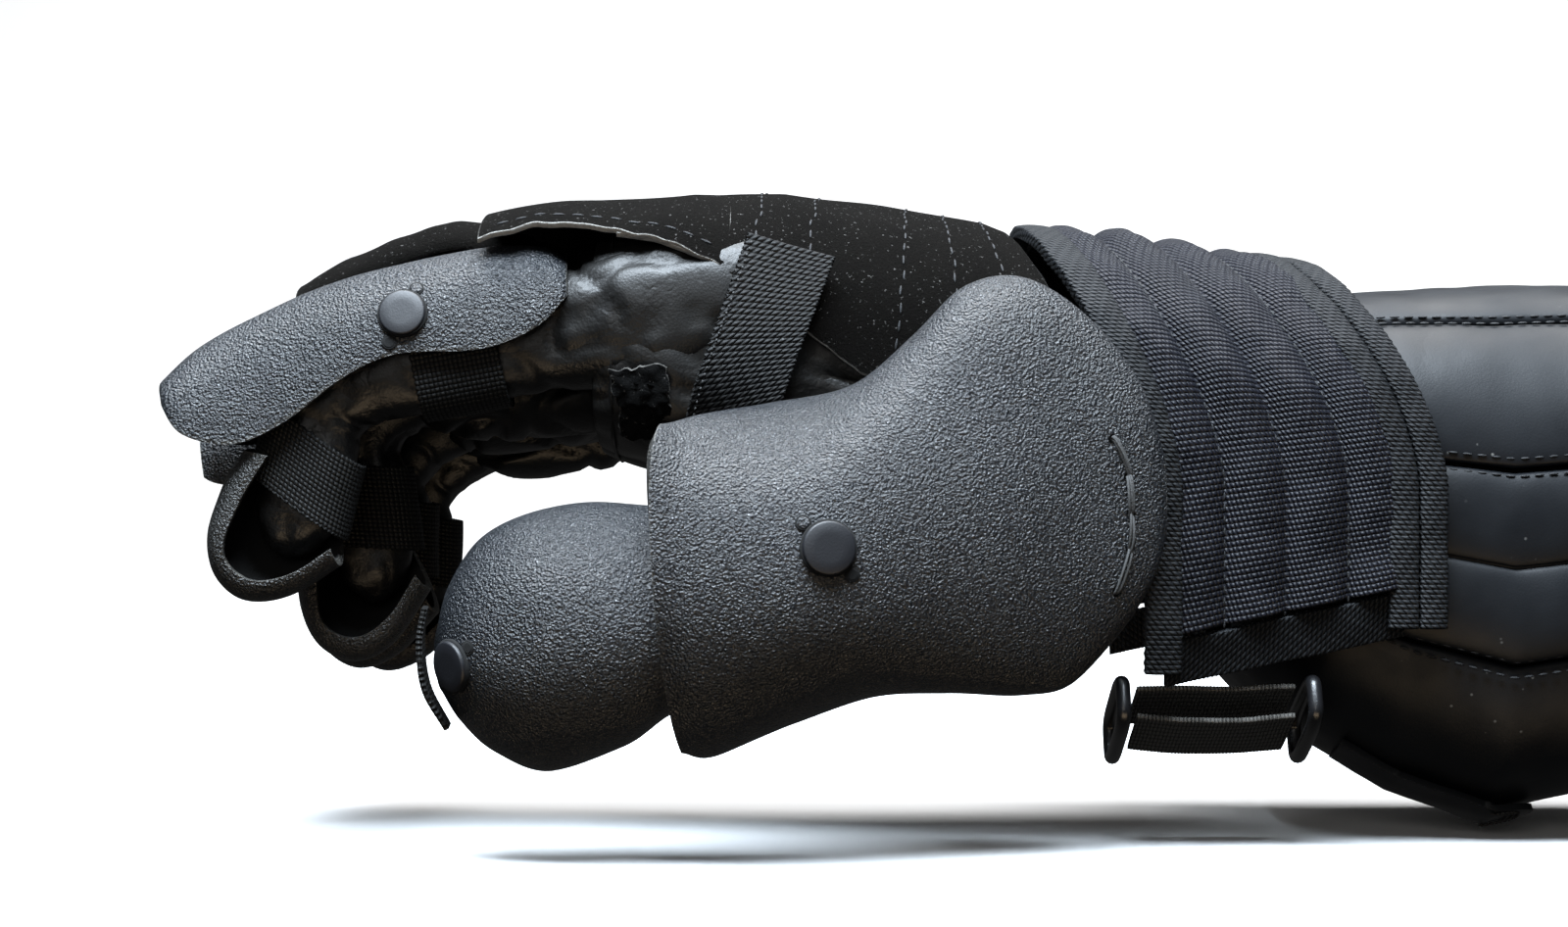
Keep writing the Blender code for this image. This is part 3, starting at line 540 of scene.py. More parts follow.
def stitch_tree():
    """Geometry nodes: short thread loops spaced along a line."""
    tree = bpy.data.node_groups.new("stitch_row", "GeometryNodeTree")
    tree.interface.new_socket("Geometry", in_out="INPUT", socket_type="NodeSocketGeometry")
    for label, value in (("Spacing", 0.003), ("Length", 0.0022), ("Thickness", 0.0007)):
        tree.interface.new_socket(label, in_out="INPUT", socket_type="NodeSocketFloat").default_value = value
    tree.interface.new_socket("Material", in_out="INPUT", socket_type="NodeSocketMaterial")
    tree.interface.new_socket("Geometry", in_out="OUTPUT", socket_type="NodeSocketGeometry")
    w = Wiring(tree)
    put, out = w.node("NodeGroupInput"), w.node("NodeGroupOutput")
    even = w.node("GeometryNodeResampleCurve", mode="LENGTH")
    w.plug(put.outputs["Geometry"], even.inputs["Curve"])
    w.plug(put.outputs["Spacing"], even.inputs["Length"])
    ball = w.node("GeometryNodeMeshUVSphere")
    ball.inputs["Segments"].default_value = 8
    ball.inputs["Rings"].default_value = 6
    ball.inputs["Radius"].default_value = 0.5
    turn = w.node("FunctionNodeAlignRotationToVector", axis="X")
    w.plug(w.node("GeometryNodeInputTangent").outputs[0], turn.inputs["Vector"])
    size = w.node("ShaderNodeCombineXYZ")
    w.plug(put.outputs["Length"], size.inputs[0])
    w.plug(put.outputs["Thickness"], size.inputs[1])
    w.plug(put.outputs["Thickness"], size.inputs[2])
    place = w.node("GeometryNodeInstanceOnPoints")
    w.plug(even.outputs[0], place.inputs["Points"])
    w.plug(ball.outputs["Mesh"], place.inputs["Instance"])
    w.plug(turn.outputs[0], place.inputs["Rotation"])
    w.plug(size.outputs[0], place.inputs["Scale"])
    real = w.node("GeometryNodeRealizeInstances")
    w.plug(place.outputs[0], real.inputs[0])
    paint = w.node("GeometryNodeSetMaterial")
    w.plug(real.outputs[0], paint.inputs["Geometry"])
    w.plug(put.outputs["Material"], paint.inputs["Material"])
    w.plug(paint.outputs[0], out.inputs[0])
    return tree


STITCH = stitch_tree()


def sew(name, lines, spacing=3.0, length=2.2, thickness=0.7, look="thread"):
    """Rows of stitches along lines of points, in millimetres, as one mesh."""
    data = bpy.data.curves.new(name, "CURVE")
    data.dimensions = "3D"
    for line in lines:
        spline = data.splines.new("POLY")
        spline.points.add(len(line) - 1)
        for point, p in zip(spline.points, line):
            point.co = (p[0] * MM, p[1] * MM, p[2] * MM, 1)
    tool = bpy.data.objects.new(name + "_line", data)
    bpy.context.scene.collection.objects.link(tool)
    mod = tool.modifiers.new("stitches", "NODES")
    mod.node_group = STITCH
    ids = {s.name: s.identifier for s in STITCH.interface.items_tree if s.in_out == "INPUT"}
    mod[ids["Spacing"]] = spacing * MM
    mod[ids["Length"]] = length * MM
    mod[ids["Thickness"]] = thickness * MM
    mod[ids["Material"]] = MAT[look]
    dg = bpy.context.evaluated_depsgraph_get()
    mesh = bpy.data.meshes.new_from_object(tool.evaluated_get(dg), depsgraph=dg)
    bpy.data.objects.remove(tool, do_unlink=True)
    mesh.shade_smooth()
    if not mesh.materials:
        mesh.materials.append(MAT[look])
    obj = bpy.data.objects.new(name, mesh)
    bpy.context.scene.collection.objects.link(obj)
    return obj


def rope(name, line, radius, look, sides=8, steps=None):
    """Round piece along a smooth line of points."""
    path = spread(line, steps or max(12, len(line) * 6))
    rings = []
    for i, p in enumerate(path):
        t = path[min(i + 1, len(path) - 1)] - path[max(i - 1, 0)]
        t = Vector(t).normalized()
        side = t.cross(Vector((0.2, 1, 0.1))).normalized()
        up = t.cross(side)
        r = radius * (0.6 if i in (0, len(path) - 1) else 1.0)
        rings.append([Vector(p) + (side * math.cos(a) + up * math.sin(a)) * r
                      for a in (2 * math.pi * k / sides for k in range(sides))])
    return loft(name, rings, look)


def mount(obj, body, *nodes, slot=None):
    """Ride on a body and stand for the given nodes."""
    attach(obj, body)
    if nodes:
        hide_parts(*nodes)
    return obj


# ---------------------------------------------------------------- tables of the part

FINGERS = {
    "index": (-43.0, 45.2, 1.0, 0.0, 1.0, 0.0),
    "middle": (-14.0, 51.5, 1.05, 10.0, 1.14, 12.0),
    "ring": (15.0, 50.5, 1.03, 18.0, 1.05, -4.0),
    "little": (44.0, 43.5, 0.98, 18.0, 1.0, -4.0),
}
KNUCKLE = (-331.4, 45.2)
MIDDLE_JOINT = (-391.9, 33.8)
BASE_DIR = (MIDDLE_JOINT[0] - KNUCKLE[0], MIDDLE_JOINT[1] - KNUCKLE[1])
BASE_LEN = math.hypot(*BASE_DIR)
TIP_DIR = (-10.0, -39.3)
PLATE_HALF = 14.0
TIP_HALF = 7.8
BASE_HALF = 9.4
HAND = (
    (-360.0, 43.5, 58.0, 29.5, 3.2, 3.2), (-331.5, 42.5, 57.5, 30.5, 3.2, 3.2),
    (-310.0, 42.5, 57.0, 32.0, 3.0, 3.0), (-288.0, 39.5, 55.5, 36.0, 2.8, 2.8),
    (-264.0, 33.0, 52.5, 40.0, 2.6, 2.6), (-240.0, 25.5, 49.5, 44.0, 2.5, 2.5),
    (-215.0, 17.0, 47.0, 43.5, 2.5, 2.5), (-200.0, 14.0, 45.0, 41.5, 2.5, 2.5),
)
CUFF = (
    (-232.0, 9.0, 60.0, 62.5, 2.6, 6.0), (-206.0, 9.0, 60.0, 61.0, 2.6, 6.0),
    (-190.0, 9.0, 60.0, 58.0, 2.6, 6.0), (-165.0, 8.5, 60.0, 55.0, 2.7, 6.0),
    (-139.0, 8.0, 60.0, 55.0, 2.7, 6.0),
)
GUARD = (
    (-183.0, 9.0, 46.0, 41.0, 2.5, 2.5), (-165.0, 2.0, 48.0, 49.0, 2.6, 2.6),
    (-145.0, -3.5, 50.0, 55.5, 2.7, 2.7), (-122.0, -7.5, 51.0, 60.0, 2.7, 2.7),
    (-90.0, -4.0, 51.0, 57.0, 2.7, 2.7), (-45.0, -1.5, 50.0, 55.0, 2.7, 2.7),
    (0.0, 0.0, 49.0, 53.0, 2.7, 2.7),
)
EDGE = ((-357.5, 64.5), (-344.0, 65.5), (-332.0, 65.0), (-316.6, 62.6), (-303.0, 57.5),
        (-293.5, 50.0), (-283.6, 43.4), (-270.4, 34.0), (-262.0, 32.0), (-240.0, 32.0),
        (-214.0, 32.0))
PLATE_RIDGE = ((-431.0, 32.4), (-423.2, 39.6), (-411.9, 46.4), (-398.4, 52.7), (-384.9, 57.2),
               (-369.1, 61.0), (-353.3, 63.7), (-343.2, 63.3), (-337.6, 59.9))
PLATE_LIP = ((-429.5, 27.5), (-423.5, 20.2), (-411.9, 18.1), (-400.4, 23.2), (-387.2, 33.1),
             (-375.1, 38.4), (-356.3, 39.5), (-343.6, 44.6), (-336.9, 51.8))
CAP_RIDGE = ((-412.4, 17.0), (-417.4, 8.7), (-420.8, -2.5), (-419.4, -12.7), (-412.2, -19.4),
             (-400.8, -18.5), (-388.4, -11.2))
CAP_LIP = ((-404.6, 15.5), (-410.6, 5.5), (-414.6, -4.6), (-412.8, -10.0), (-407.0, -12.8),
           (-398.9, -11.0), (-390.4, -5.6))
THUMB_N = ((-312.8, -74, 19.6), (-306.6, -68, 24.2), (-290.2, -64, 27.2), (-272.7, -64, 31.2),
           (-259.5, -64, 42.3), (-247.3, -64, 53.4), (-234.1, -64, 55.3), (-219.9, -64, 46.2),
           (-209.1, -64, 32.2), (-203.5, -64, 15.4))
THUMB_R = ((-316.4, -96, -1.3), (-307.7, -96, -9.5), (-292.1, -95, -10.6), (-277.6, -93, -7.5),
           (-260.7, -88, -2.5), (-243.5, -82, 3.7), (-228.1, -76, 8.5), (-215.8, -71.5, 9.0),
           (-206.6, -68, 7.5), (-202.8, -65.4, 6.0))
THUMB_F = ((-310.5, -76, -49.5), (-303.0, -70, -51.0), (-285.8, -65, -44.0), (-267.2, -64, -37.6),
           (-250.7, -64, -37.2), (-235.3, -64, -37.8), (-224.3, -64, -36.0), (-214.5, -64, -25.4),
           (-206.5, -64, -12.5), (-203.0, -64, -3.0))
DOME_N = ((-301.5, -66, 2.6), (-317.3, -66, 4.4), (-331.5, -66, 4.8), (-344.5, -66, 2.8),
          (-355.4, -66, -3.0), (-361.9, -66, -12.8), (-364.6, -66, -22.6))
DOME_R = ((-301.1, -87, -19.9), (-316.4, -88, -21.4), (-329.9, -89.5, -23.4),
          (-342.5, -89, -24.4), (-353.4, -85.5, -26.2), (-360.9, -78.5, -28.3), (-365.2, -70.5, -30.2))
DOME_F = ((-301.5, -66, -38.5), (-311.9, -66, -41.5), (-323.0, -66, -49.0), (-340.2, -66, -54.6),
          (-352.1, -66, -50.4), (-359.7, -66, -43.3), (-363.8, -66, -36.7))
LEATHER = 1.3
CUFF_LEAN = 25.0
STRAP_MID = -43.0
STRAP_HALF = 10.5
TILT = math.radians(26.0)


def columns(table, x):
    t = np.asarray(table, float)
    return [np.interp(x, t[:, 0], t[:, i]) for i in range(1, 6)]


def power(value, exponent):
    return np.sign(value) * np.abs(value) ** exponent


def skin(table, x, theta, off=0.0, lean=0.0):
    """Points on a tube's skin. theta is 0 on the thumb's side and 90 on top."""
    x, theta, off, lean = np.broadcast_arrays(*(np.asarray(v, float) for v in (x, theta, off, lean)))
    c, s = np.cos(np.radians(theta)), np.sin(np.radians(theta))
    x = x - lean * np.maximum(s, 0.0) ** 1.2
    zc, a, b, n, low = columns(table, x)
    n = np.where(s < 0, low, n)
    return np.stack([x, -power(c, 2 / n) * (a + off), zc + power(s, 2 / n) * (b + off)], -1)


def theta_at(table, x, z):
    """Angle on the near side at which the tube's skin has height z."""
    zc, a, b, n, low = columns(table, x)
    s = (np.asarray(z, float) - zc) / b
    s = np.sign(s) * np.minimum(np.abs(s), 1.0) ** (np.where(s > 0, n, low) / 2)
    return np.degrees(np.arcsin(s))


def hand_lean(x):
    return 24.0 * np.clip((np.asarray(x, float) + 262.0) / 55.0, 0.0, 1.0)


def even(line, count):
    """Resample a line of points to even spacing."""
    steps = np.concatenate([[0.0], np.cumsum(np.linalg.norm(np.diff(line, axis=0), axis=1))])
    at = np.linspace(0, steps[-1], count)
    return np.stack([np.interp(at, steps, line[:, i]) for i in range(3)], -1)


def tube_grid(table, xs, start, end, count, lean=0.0, off=0.0):
    """Grid round a tube: first axis round it from start to end degrees, second along xs.
    Start and end may be arrays over xs."""
    full = np.max(np.abs(np.asarray(end) - np.asarray(start))) >= 359.9
    lines = []
    for i, x in enumerate(xs):
        a, b = (float(np.broadcast_to(v, len(xs))[i]) for v in (start, end))
        shift = float(lean(x)) if callable(lean) else lean
        line = skin(table, x, np.linspace(a, b, 1400), off, shift)
        line = even(line, count + 1)
        lines.append(line[:-1] if full else line)
    return np.stack(lines, axis=1)


def turn(point, pivot, degrees, stretch=1.0, along=None):
    vx, vz = point[0] - pivot[0], point[1] - pivot[1]
    if along is not None:
        size = math.hypot(*along)
        dx, dz = along[0] / size, along[1] / size
        run = (vx * dx + vz * dz) * (stretch - 1.0)
        vx, vz = vx + dx * run, vz + dz * run
    c, s = math.cos(math.radians(degrees)), math.sin(math.radians(degrees))
    return np.array((pivot[0] + vx * c - vz * s, pivot[1] + vx * s + vz * c))


def base_place(finger, point):
    y, z, length, curl, tip_length, tip_curl = finger
    p = turn(point, KNUCKLE, curl, length, BASE_DIR)
    return np.array((p[0], p[1] + z - KNUCKLE[1]))


def tip_place(finger, point):
    y, z, length, curl, tip_length, tip_curl = finger
    p = turn(point, MIDDLE_JOINT, curl + tip_curl, tip_length, TIP_DIR)
    joint = base_place(finger, MIDDLE_JOINT)
    return p + joint - np.array(MIDDLE_JOINT)


def along_base(finger, s):
    """Point on a finger's line, s past its knuckle."""
    x, z = (start + step / BASE_LEN * s for start, step in zip(KNUCKLE, BASE_DIR))
    return base_place(finger, (x, z))


def along_tip(finger, s):
    """Point on a fingertip's line, s past its middle joint."""
    size = math.hypot(*TIP_DIR)
    x, z = (start + step / size * s for start, step in zip(MIDDLE_JOINT, TIP_DIR))
    return tip_place(finger, (x, z))


def oval(centre, ahead, y, depth, width, sides=56, squareness=2.6):
    """Ring across a finger at centre (x, z), square to ahead (x, z)."""
    a = 2 * np.pi * np.arange(sides) / sides
    h = power(np.sin(a), 2 / squareness) * depth
    w = power(np.cos(a), 2 / squareness) * width
    size = math.hypot(*ahead)
    up = (ahead[1] / size, -ahead[0] / size)
    return np.stack([centre[0] + up[0] * h, y + w, centre[1] + up[1] * h], -1)


def finger_arch(place, finger, ridge, lip, half, nu, nv, start=0.0, end=1.0):
    rows = []
    for side in (-1, 0, 1):
        row = []
        for p in (ridge if side == 0 else lip):
            q = place(finger, p)
            row.append((q[0], finger[0] + side * half, q[1]))
        rows.append(row)
    return arch_grid(*rows, nu, nv, start, end)


def grid_spot(grid, u, v):
    """Point and outward normal of a grid at fractions u, v."""
    n = normals_of(grid)
    i, k = int(round(u * (grid.shape[0] - 1))), int(round(v * (grid.shape[1] - 1)))
    return grid[i, k], n[i, k]


def nearest_spot(grid, x, z):
    n = normals_of(grid)
    d = (grid[..., 0] - x) ** 2 + (grid[..., 2] - z) ** 2
    d[:, :2] += 1e6
    d[:, -2:] += 1e6
    i, k = np.unravel_index(np.argmin(d), d.shape)
    return grid[i, k], n[i, k]


def rivet(name, body, grid, centre, normal, radius, height, turn_by=0.5):
    """Flat cap with a near-black ring of painted shade round it, and a plugged and an open keyhole in the
    plate beside it. Each keyhole has a near-black ring of painted shade round it, and the open one is a post
    with a near-black top: painted shade in the hole.
    """
    profile = [(radius - 0.2, -1.2), (radius, -0.6), (radius, height * 0.55), (radius - 0.12, height * 0.85),
               (radius - 0.45, height), (radius * 0.5, height + 0.05), (radius * 0.1, height + 0.06)]
    mount(turned(name + "_cap", centre, normal, profile, "rivet", 56), body, name)
    # A near-black ring just wider than the cap: painted shade in the gap round it.
    shade_ring = [(radius + 0.3, -1.0), (radius + 0.45, 0.1), (radius + 0.2, 0.35)]
    mount(turned(name + "_seat", centre, normal, shade_ring, "hole", 48), body, slot=name)
    n = Vector(normal).normalized()
    side = n.orthogonal().normalized()
    side = side * math.cos(turn_by) + n.cross(side) * math.sin(turn_by)
    surface = normals_of(grid)
    for sign, part, look in ((-1, "plug", "plate"), (1, "keyhole", "hole")):
        spot = np.array(Vector(centre) + side * sign * (radius + 1.9))
        i, k = np.unravel_index(np.argmin(((grid - spot) ** 2).sum(axis=2)), grid.shape[:2])
        p, m = grid[i, k], surface[i, k]
        # Near-black ring round each keyhole: painted shade in the gap round it.
        edge = [(1.75, -1.0), (1.75, 0.18), (1.5, 0.26)]
        mount(turned(f"{name}_{part}_edge", p, m, edge, "hole", 24), body, slot=name)
        # The open keyhole's post takes the near-black look: painted shade in the hole.
        side_top, top = (0.34, 0.42) if part == "plug" else (0.28, 0.28)
        post = [(1.3, -1.0), (1.3, side_top), (1.0, top)]
        mount(turned(f"{name}_{part}", p, m, post, look, 24), body, slot=name)


def jag(grid, axis, height):
    """Push alternate points of the edges out, for the saw-tooth edge of woven tape."""
    grid = grid.copy()
    wave = np.where(np.arange(grid.shape[1 - axis]) % 2 == 0, height, -height)[:, None]
    if axis == 1:
        for edge, inner in ((0, 1), (-1, -2)):
            d = grid[:, edge] - grid[:, inner]
            grid[:, edge] += d / np.linalg.norm(d, axis=1, keepdims=True) * wave
    return grid


def band(name, body, finger, at, stations, depth, width, off, thickness, look, node, slant=0.0):
    """Webbing wound round a finger between two stations. Slant turns it across the finger."""
    s = np.linspace(*stations, 15)
    ahead = at(finger, stations[1]) - at(finger, stations[0])
    rings = np.stack([oval(at(finger, v), ahead, finger[0], depth + off, width + off, 120)
                      for v in s], axis=1)
    size = math.hypot(*ahead)
    heads = np.array((ahead[0] / size, 0.0, ahead[1] / size))
    above = np.array((heads[2], 0.0, -heads[0]))
    rise = (rings - rings.mean(axis=0, keepdims=True)) @ above
    rings = jag(rings + heads * (slant * rise)[..., None], 1, 0.22)
    hint = rings[30, 7] - rings.mean(axis=(0, 1))
    piece = shell(name, rings, thickness, look, hint=hint, out=thickness, soften=0.3, closed=True,
                  lift=wrinkle(9.0, 0.25, finger[0]))
    mount(keep(piece), body, node)


def bent_finger(name, finger):
    """Leather of one finger, in a root piece and a fingertip piece shaped round the middle joint."""
    y = finger[0]
    k, j = along_base(finger, 0), along_base(finger, BASE_LEN)
    root_s = np.linspace(-42 if name == "index" else -18, 36, 70)
    ahead = j - k
    depth = np.interp(root_s, (-42, -20, -6, 10, 60), (15.0, 17.0, 16.0, 13.0, 13.0))
    widths = (13.0, 15.4, 14.6, BASE_HALF) if name == "index" else (11, 11.5, 11, BASE_HALF)
    width = np.interp(root_s, (-42, -30, -8, 12), widths)
    sizes = list(zip(root_s, depth, width))
    outer = np.array([oval(along_base(finger, s), ahead, y, d, w) for s, d, w in sizes])
    inner = np.array([oval(along_base(finger, s), ahead, y, d - LEATHER, w - LEATHER) for s, d, w in sizes])
    rings = np.concatenate([fold(outer, 1.3, 12.0, y), inner[::-1]])
    root = loft(f"{name}_root_leather", rings, "leather", closed=True)
    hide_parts(f"{name}_stall_base")
    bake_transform(root)
    bend = 13.0
    a, c = along_base(finger, BASE_LEN - bend), along_tip(finger, bend)
    line, heads, run = [], [], []
    for s in np.linspace(34, BASE_LEN - bend, 14)[:-1]:
        line.append(along_base(finger, s))
        heads.append(j - k)
        run.append(s - BASE_LEN)
    for t in np.linspace(0, 1, 22):
        line.append(a * (1 - t) ** 2 + 2 * j * t * (1 - t) + c * t * t)
        heads.append((j - a) * (1 - t) + (c - j) * t)
        run.append(-bend + 2 * bend * t)
    tail = list(np.linspace(bend, 33, 16)[1:]) + [35, 37, 38.5, 40, 41, 41.8, 42.4, 42.8]
    for s in tail:
        line.append(along_tip(finger, s))
        heads.append(c - j)
        run.append(s)
    d = np.interp(run, (-30, -12, 0, 12, 16, 24, 33, 37, 40, 41.8, 42.8),
                  (12.8, 12.6, 12.0, 9.6, 10.6, 10.6, 9.8, 8.6, 6.4, 4.0, 1.6))
    w = np.interp(run, (-30, -12, 12, 33, 37, 40, 41.8, 42.8),
                  (9.2, BASE_HALF, TIP_HALF, TIP_HALF, 7.2, 5.6, 3.6, 1.4))
    rows = list(zip(line, heads, d, w))
    outer = np.array([oval(p, h, y, dd, ww) for p, h, dd, ww in rows])
    inner = np.array([oval(p, h, y, max(dd - LEATHER, 0.3), max(ww - LEATHER, 0.3))
                      for p, h, dd, ww in rows[:-4]])
    rings = np.concatenate([inner[::-1], fold(outer, 0.9, 9.0, y + 3)])
    tip = loft(f"{name}_fingertip_leather", rings, "leather")
    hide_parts(f"{name}_stall_tip")
    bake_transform(tip)


def fold(rings, height, scale, seed):
    """Soft leather folds: each ring's points move in and out from the ring's middle."""
    out = rings - rings.mean(axis=1, keepdims=True)
    out /= np.maximum(np.linalg.norm(out, axis=2, keepdims=True), 1e-6)
    rise = creased(scale, height, seed, (1, 0.5, 1))(rings)
    rise = rise + wrinkle(scale * 1.7, height * 0.6, seed + 9)(rings)
    return rings + out * rise[..., None]


def round_ends(grid, y, front, rear):
    """Draw a plate's sides in at its two ends, so that its corners are round from above."""
    run = np.linalg.norm(np.diff(grid[:, grid.shape[1] // 2], axis=0), axis=1)
    at = np.concatenate([[0.0], np.cumsum(run)])
    width = 1.0
    for share, reach in ((front, at / 13.0), (rear, (at[-1] - at) / 11.0)):
        width = width * (share + (1 - share) * np.sqrt(1 - (1 - np.clip(reach, 0, 1)) ** 2))
    grid = grid.copy()
    grid[..., 1] = y + (grid[..., 1] - y) * width[:, None]
    return grid


def make_finger(name, finger):
    bent_finger(name, finger)
    y = seed = finger[0]
    grid = finger_arch(base_place, finger, PLATE_RIDGE, PLATE_LIP, PLATE_HALF, 88, 44)
    grid = round_ends(grid, y, 0.5, 0.72)
    if name == "middle":
        grid = grid[8:]
    # Its inner face takes the near-black look: painted shade under the plate.
    plate = shell(f"{name}_back_plate", grid, 2.4, "plate", lift=wrinkle(16.0, 0.35, seed), inside="hole")
    mount(keep(plate), f"{name}_base", f"{name}_plate")
    centre, normal = grid_spot(grid, 0.61, 0.14 if name == "index" else 0.3)
    rivet(f"{name}_rivet", f"{name}_base", grid, centre + normal * 0.3, normal, 5.3, 1.1, 0.3)
    band(f"{name}_back_webbing", f"{name}_base", finger, along_base, (22, 42), 13.0, BASE_HALF, 0.5, 1.2,
         "webbing", f"{name}_base_band")
    band(f"{name}_tip_webbing", f"{name}_tip", finger, along_tip, (13.5, 31), 11.0, TIP_HALF, 0.5, 1.2,
         "webbing", f"{name}_tip_band", -0.42 if name == "index" else -0.2)
    grid = finger_arch(tip_place, finger, CAP_RIDGE, CAP_LIP, 12.6, 64, 60)
    flare = np.linspace(0, 1, 61)[None, :, None] ** 3
    centre = np.append(along_tip(finger, 16), 0)[[0, 2, 1]] + np.array((0, y + 12.6, 0))
    grid = grid + (centre - grid) * np.array((0.8, 0.0, 0.8)) * flare
    # Its inner face takes the near-black look: painted shade inside the cap.
    cap = shell(f"{name}_tip_cap", grid, 2.0, "cap", lift=wrinkle(11.0, 0.3, seed + 5), inside="hole")
    mount(keep(cap), f"{name}_tip", f"{name}_cap")


def middle_strip():
    """Dark strip with rolled edges over the middle finger, saddled down at its sides."""
    finger = FINGERS["middle"]
    line = ((-399.0, 63.5), (-386.0, 68.0), (-372.0, 71.0), (-361.0, 71.8), (-352.0, 69.0), (-344.0, 64.5))
    rows = []
    for side in (-1, 0, 1):
        drop = 7.5 if side else 0.0
        row = []
        for x, z in line:
            q = base_place(finger, (x, z - drop))
            row.append((q[0], finger[0] + side * 12.5, q[1] - 0.5))
        rows.append(row)
    grid = arch_grid(*rows, 50, 34)
    piece = keep(shell("middle_suede_strip", grid, 1.4, "suede", lift=wrinkle(7.0, 0.6, 3), cut="leather"))
    mount(piece, "middle_base", "middle_back_strip")


for finger_name, finger_row in FINGERS.items():
    make_finger(finger_name, finger_row)
middle_strip()

# ---------------------------------------------------------------- palm and back of the hand


def thumb_hole_drill():
    """Oval bar that cuts the thumb's hole out of the palm."""
    ends = []
    for y in (-75.0, -30.0):
        turns = [math.pi * k / 20 for k in range(40)]
        ends.append([(-262.0 + 20.0 * math.cos(a), y, 4.0 + 15.0 * math.sin(a)) for a in turns])
    drill = loft("thumb_hole_drill", ends, "hole")
    drill.hide_render = True
    return drill


def palm_and_sides():
    xs = np.linspace(-331.5, -210, 84)
    grid = tube_grid(HAND, xs, 0, 360, 190, hand_lean)
    folds = wrinkle(15.0, 1.3, 11, (1, 1, 1.3))
    creases = creased(13.0, 1.1, 12, (0.6, 1, 1.4))
    ease = np.clip((-311.0 - xs) / 20.5, 0.0, 1.0)[None, :] ** 2 * 4.5
    palm = shell("palm_and_sides", grid, 1.8, "leather", hint=(0, 0, -1), closed=True, soften=0.5,
                 lift=lambda g: folds(g) + creases(g) - 0.2 - ease)
    drill = thumb_hole_drill()
    cut = palm.modifiers.new("thumb_hole", "BOOLEAN")
    cut.operation = "DIFFERENCE"
    cut.solver = "EXACT"
    cut.object = drill
    keep(palm)
    bpy.data.objects.remove(drill, do_unlink=True)
    mount(palm, "hand", "palm_leather")


def finger_root_gusset():
    """Rounded leather wall that closes the palm between the finger roots."""
    closing = []
    for inset in (3.4, 2.0):
        part = []
        for share in np.linspace(0, 1, 22):
            turn = share * math.pi / 2
            ring = skin(HAND, -327.0, np.linspace(0, 360, 96, endpoint=False), -inset)
            mid = ring.mean(axis=0)
            ring = mid + (ring - mid) * (0.03 + 0.97 * math.cos(turn))
            ring[:, 0] -= (5.0 - inset) * math.sin(turn)
            part.append(ring)
        closing.append(np.array(part))
    inner, outer = closing
    gusset = loft("finger_root_gusset", np.concatenate([inner[::-1], fold(outer, 0.8, 9.0, 15.0)]), "leather")
    mount(gusset, "hand", slot="palm_leather")


# Middle of a soft fold under a finger's root: x, z, half height and half width
ROOT_FOLD = ((-326.0, 28.0, 12.0, 14.0), (-336.0, 28.0, 13.0, 14.6), (-347.0, 27.5, 12.5, 14.4),
             (-358.0, 27.0, 11.5, 13.8), (-367.0, 27.0, 9.5, 13.0), (-373.0, 27.5, 7.0, 11.0),
             (-376.0, 28.0, 4.0, 8.5), (-377.5, 28.0, 1.5, 5.0))


def root_fold(name):
    """Soft fold of leather under the root of one finger, set at half the finger's curl."""
    y, z, length, curl, tip_length, tip_curl = FINGERS[name]
    half_bent = (y, z, length, curl * 0.5, tip_length, tip_curl)
    circle = 2 * np.pi * np.arange(72) / 72
    rings = []
    for x, z, high, wide in spread(ROOT_FOLD, 46):
        mid = base_place(half_bent, (x, z))
        rings.append(np.stack([np.full(72, mid[0]), y + wide * power(np.cos(circle), 0.8),
                               mid[1] + high * power(np.sin(circle), 0.8)], -1))
    piece = loft(f"{name}_root_fold", fold(np.array(rings), 2.0, 11.0, y), "leather")
    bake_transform(piece)


def edge_height(x):
    """Height of the suede's near edge along the hand."""
    t = np.array(EDGE)
    return np.interp(x, t[:, 0], t[:, 1])


def back_cover(name, x0, x1, far_z, node, nx, seed, off, droop_front=0.0, droop_back=0.0):
    """Suede over the back of the hand, its near edge on the EDGE line. Gives its outer face's grid."""
    xs = np.linspace(x0, x1, nx)
    ragged = np.array([noise.noise(Vector((x * 0.21, seed, 0))) * 0.6 for x in xs])
    start = theta_at(HAND, xs, edge_height(xs) + ragged)
    end = 180 - theta_at(HAND, xs, np.maximum(edge_height(xs) - 6, far_z))
    grid = tube_grid(HAND, xs, start, end, 120, hand_lean, off)
    soft = wrinkle(22.0, 0.9, seed)
    droop = droop_front * np.clip((-338.0 - xs) / 19.5, 0, 1) ** 1.6
    droop = droop + droop_back * np.clip((xs - x1 + 9.0) / 9.0, 0, 1)
    piece = shell(name, grid, 1.6, "suede", hint=(0, 0, 1), lift=lambda g: soft(g) - 0.2 - droop[None, :],
                  cut="cut_edge", soften=0.3)
    mount(keep(piece), "hand", node)
    n = normals_of(grid, (0, 0, 1))
    return grid + n * (soft(grid) - 0.15 - droop[None, :])[..., None]


def suede_covers():
    """Back of the hand, the flap over the knuckles and the rows of stitches on both."""
    back_start, back_end, back_rows = -326.0, -214.0, 100
    cover = back_cover("back_of_hand_suede", back_start, back_end, 30, "hand_back_suede", back_rows, 9.1, 3.0)
    flap = back_cover("knuckle_flap_suede", -357.5, -300.0, 40, "knuckle_flap", 64, 4.2, 3.9, 3.2, 1.2)
    rows = []
    for x, lean_back in ((-294.0, 6.0), (-283.0, 10.0), (-262.0, 14.0), (-247.0, 16.0), (-232.0, 16.0)):
        first, last = (int((end - back_start) / (back_end - back_start) * (back_rows - 1))
                       for end in (x, x + lean_back))
        rows.append([cover[k, first + (last - first) * k // 100] for k in range(6, 100, 2)])
    rows.append(flap[4, 6:-6])
    mount(sew("suede_quilting", rows, 4.2, 2.8, 0.55, "thread"), "hand", slot="hand_back_suede")


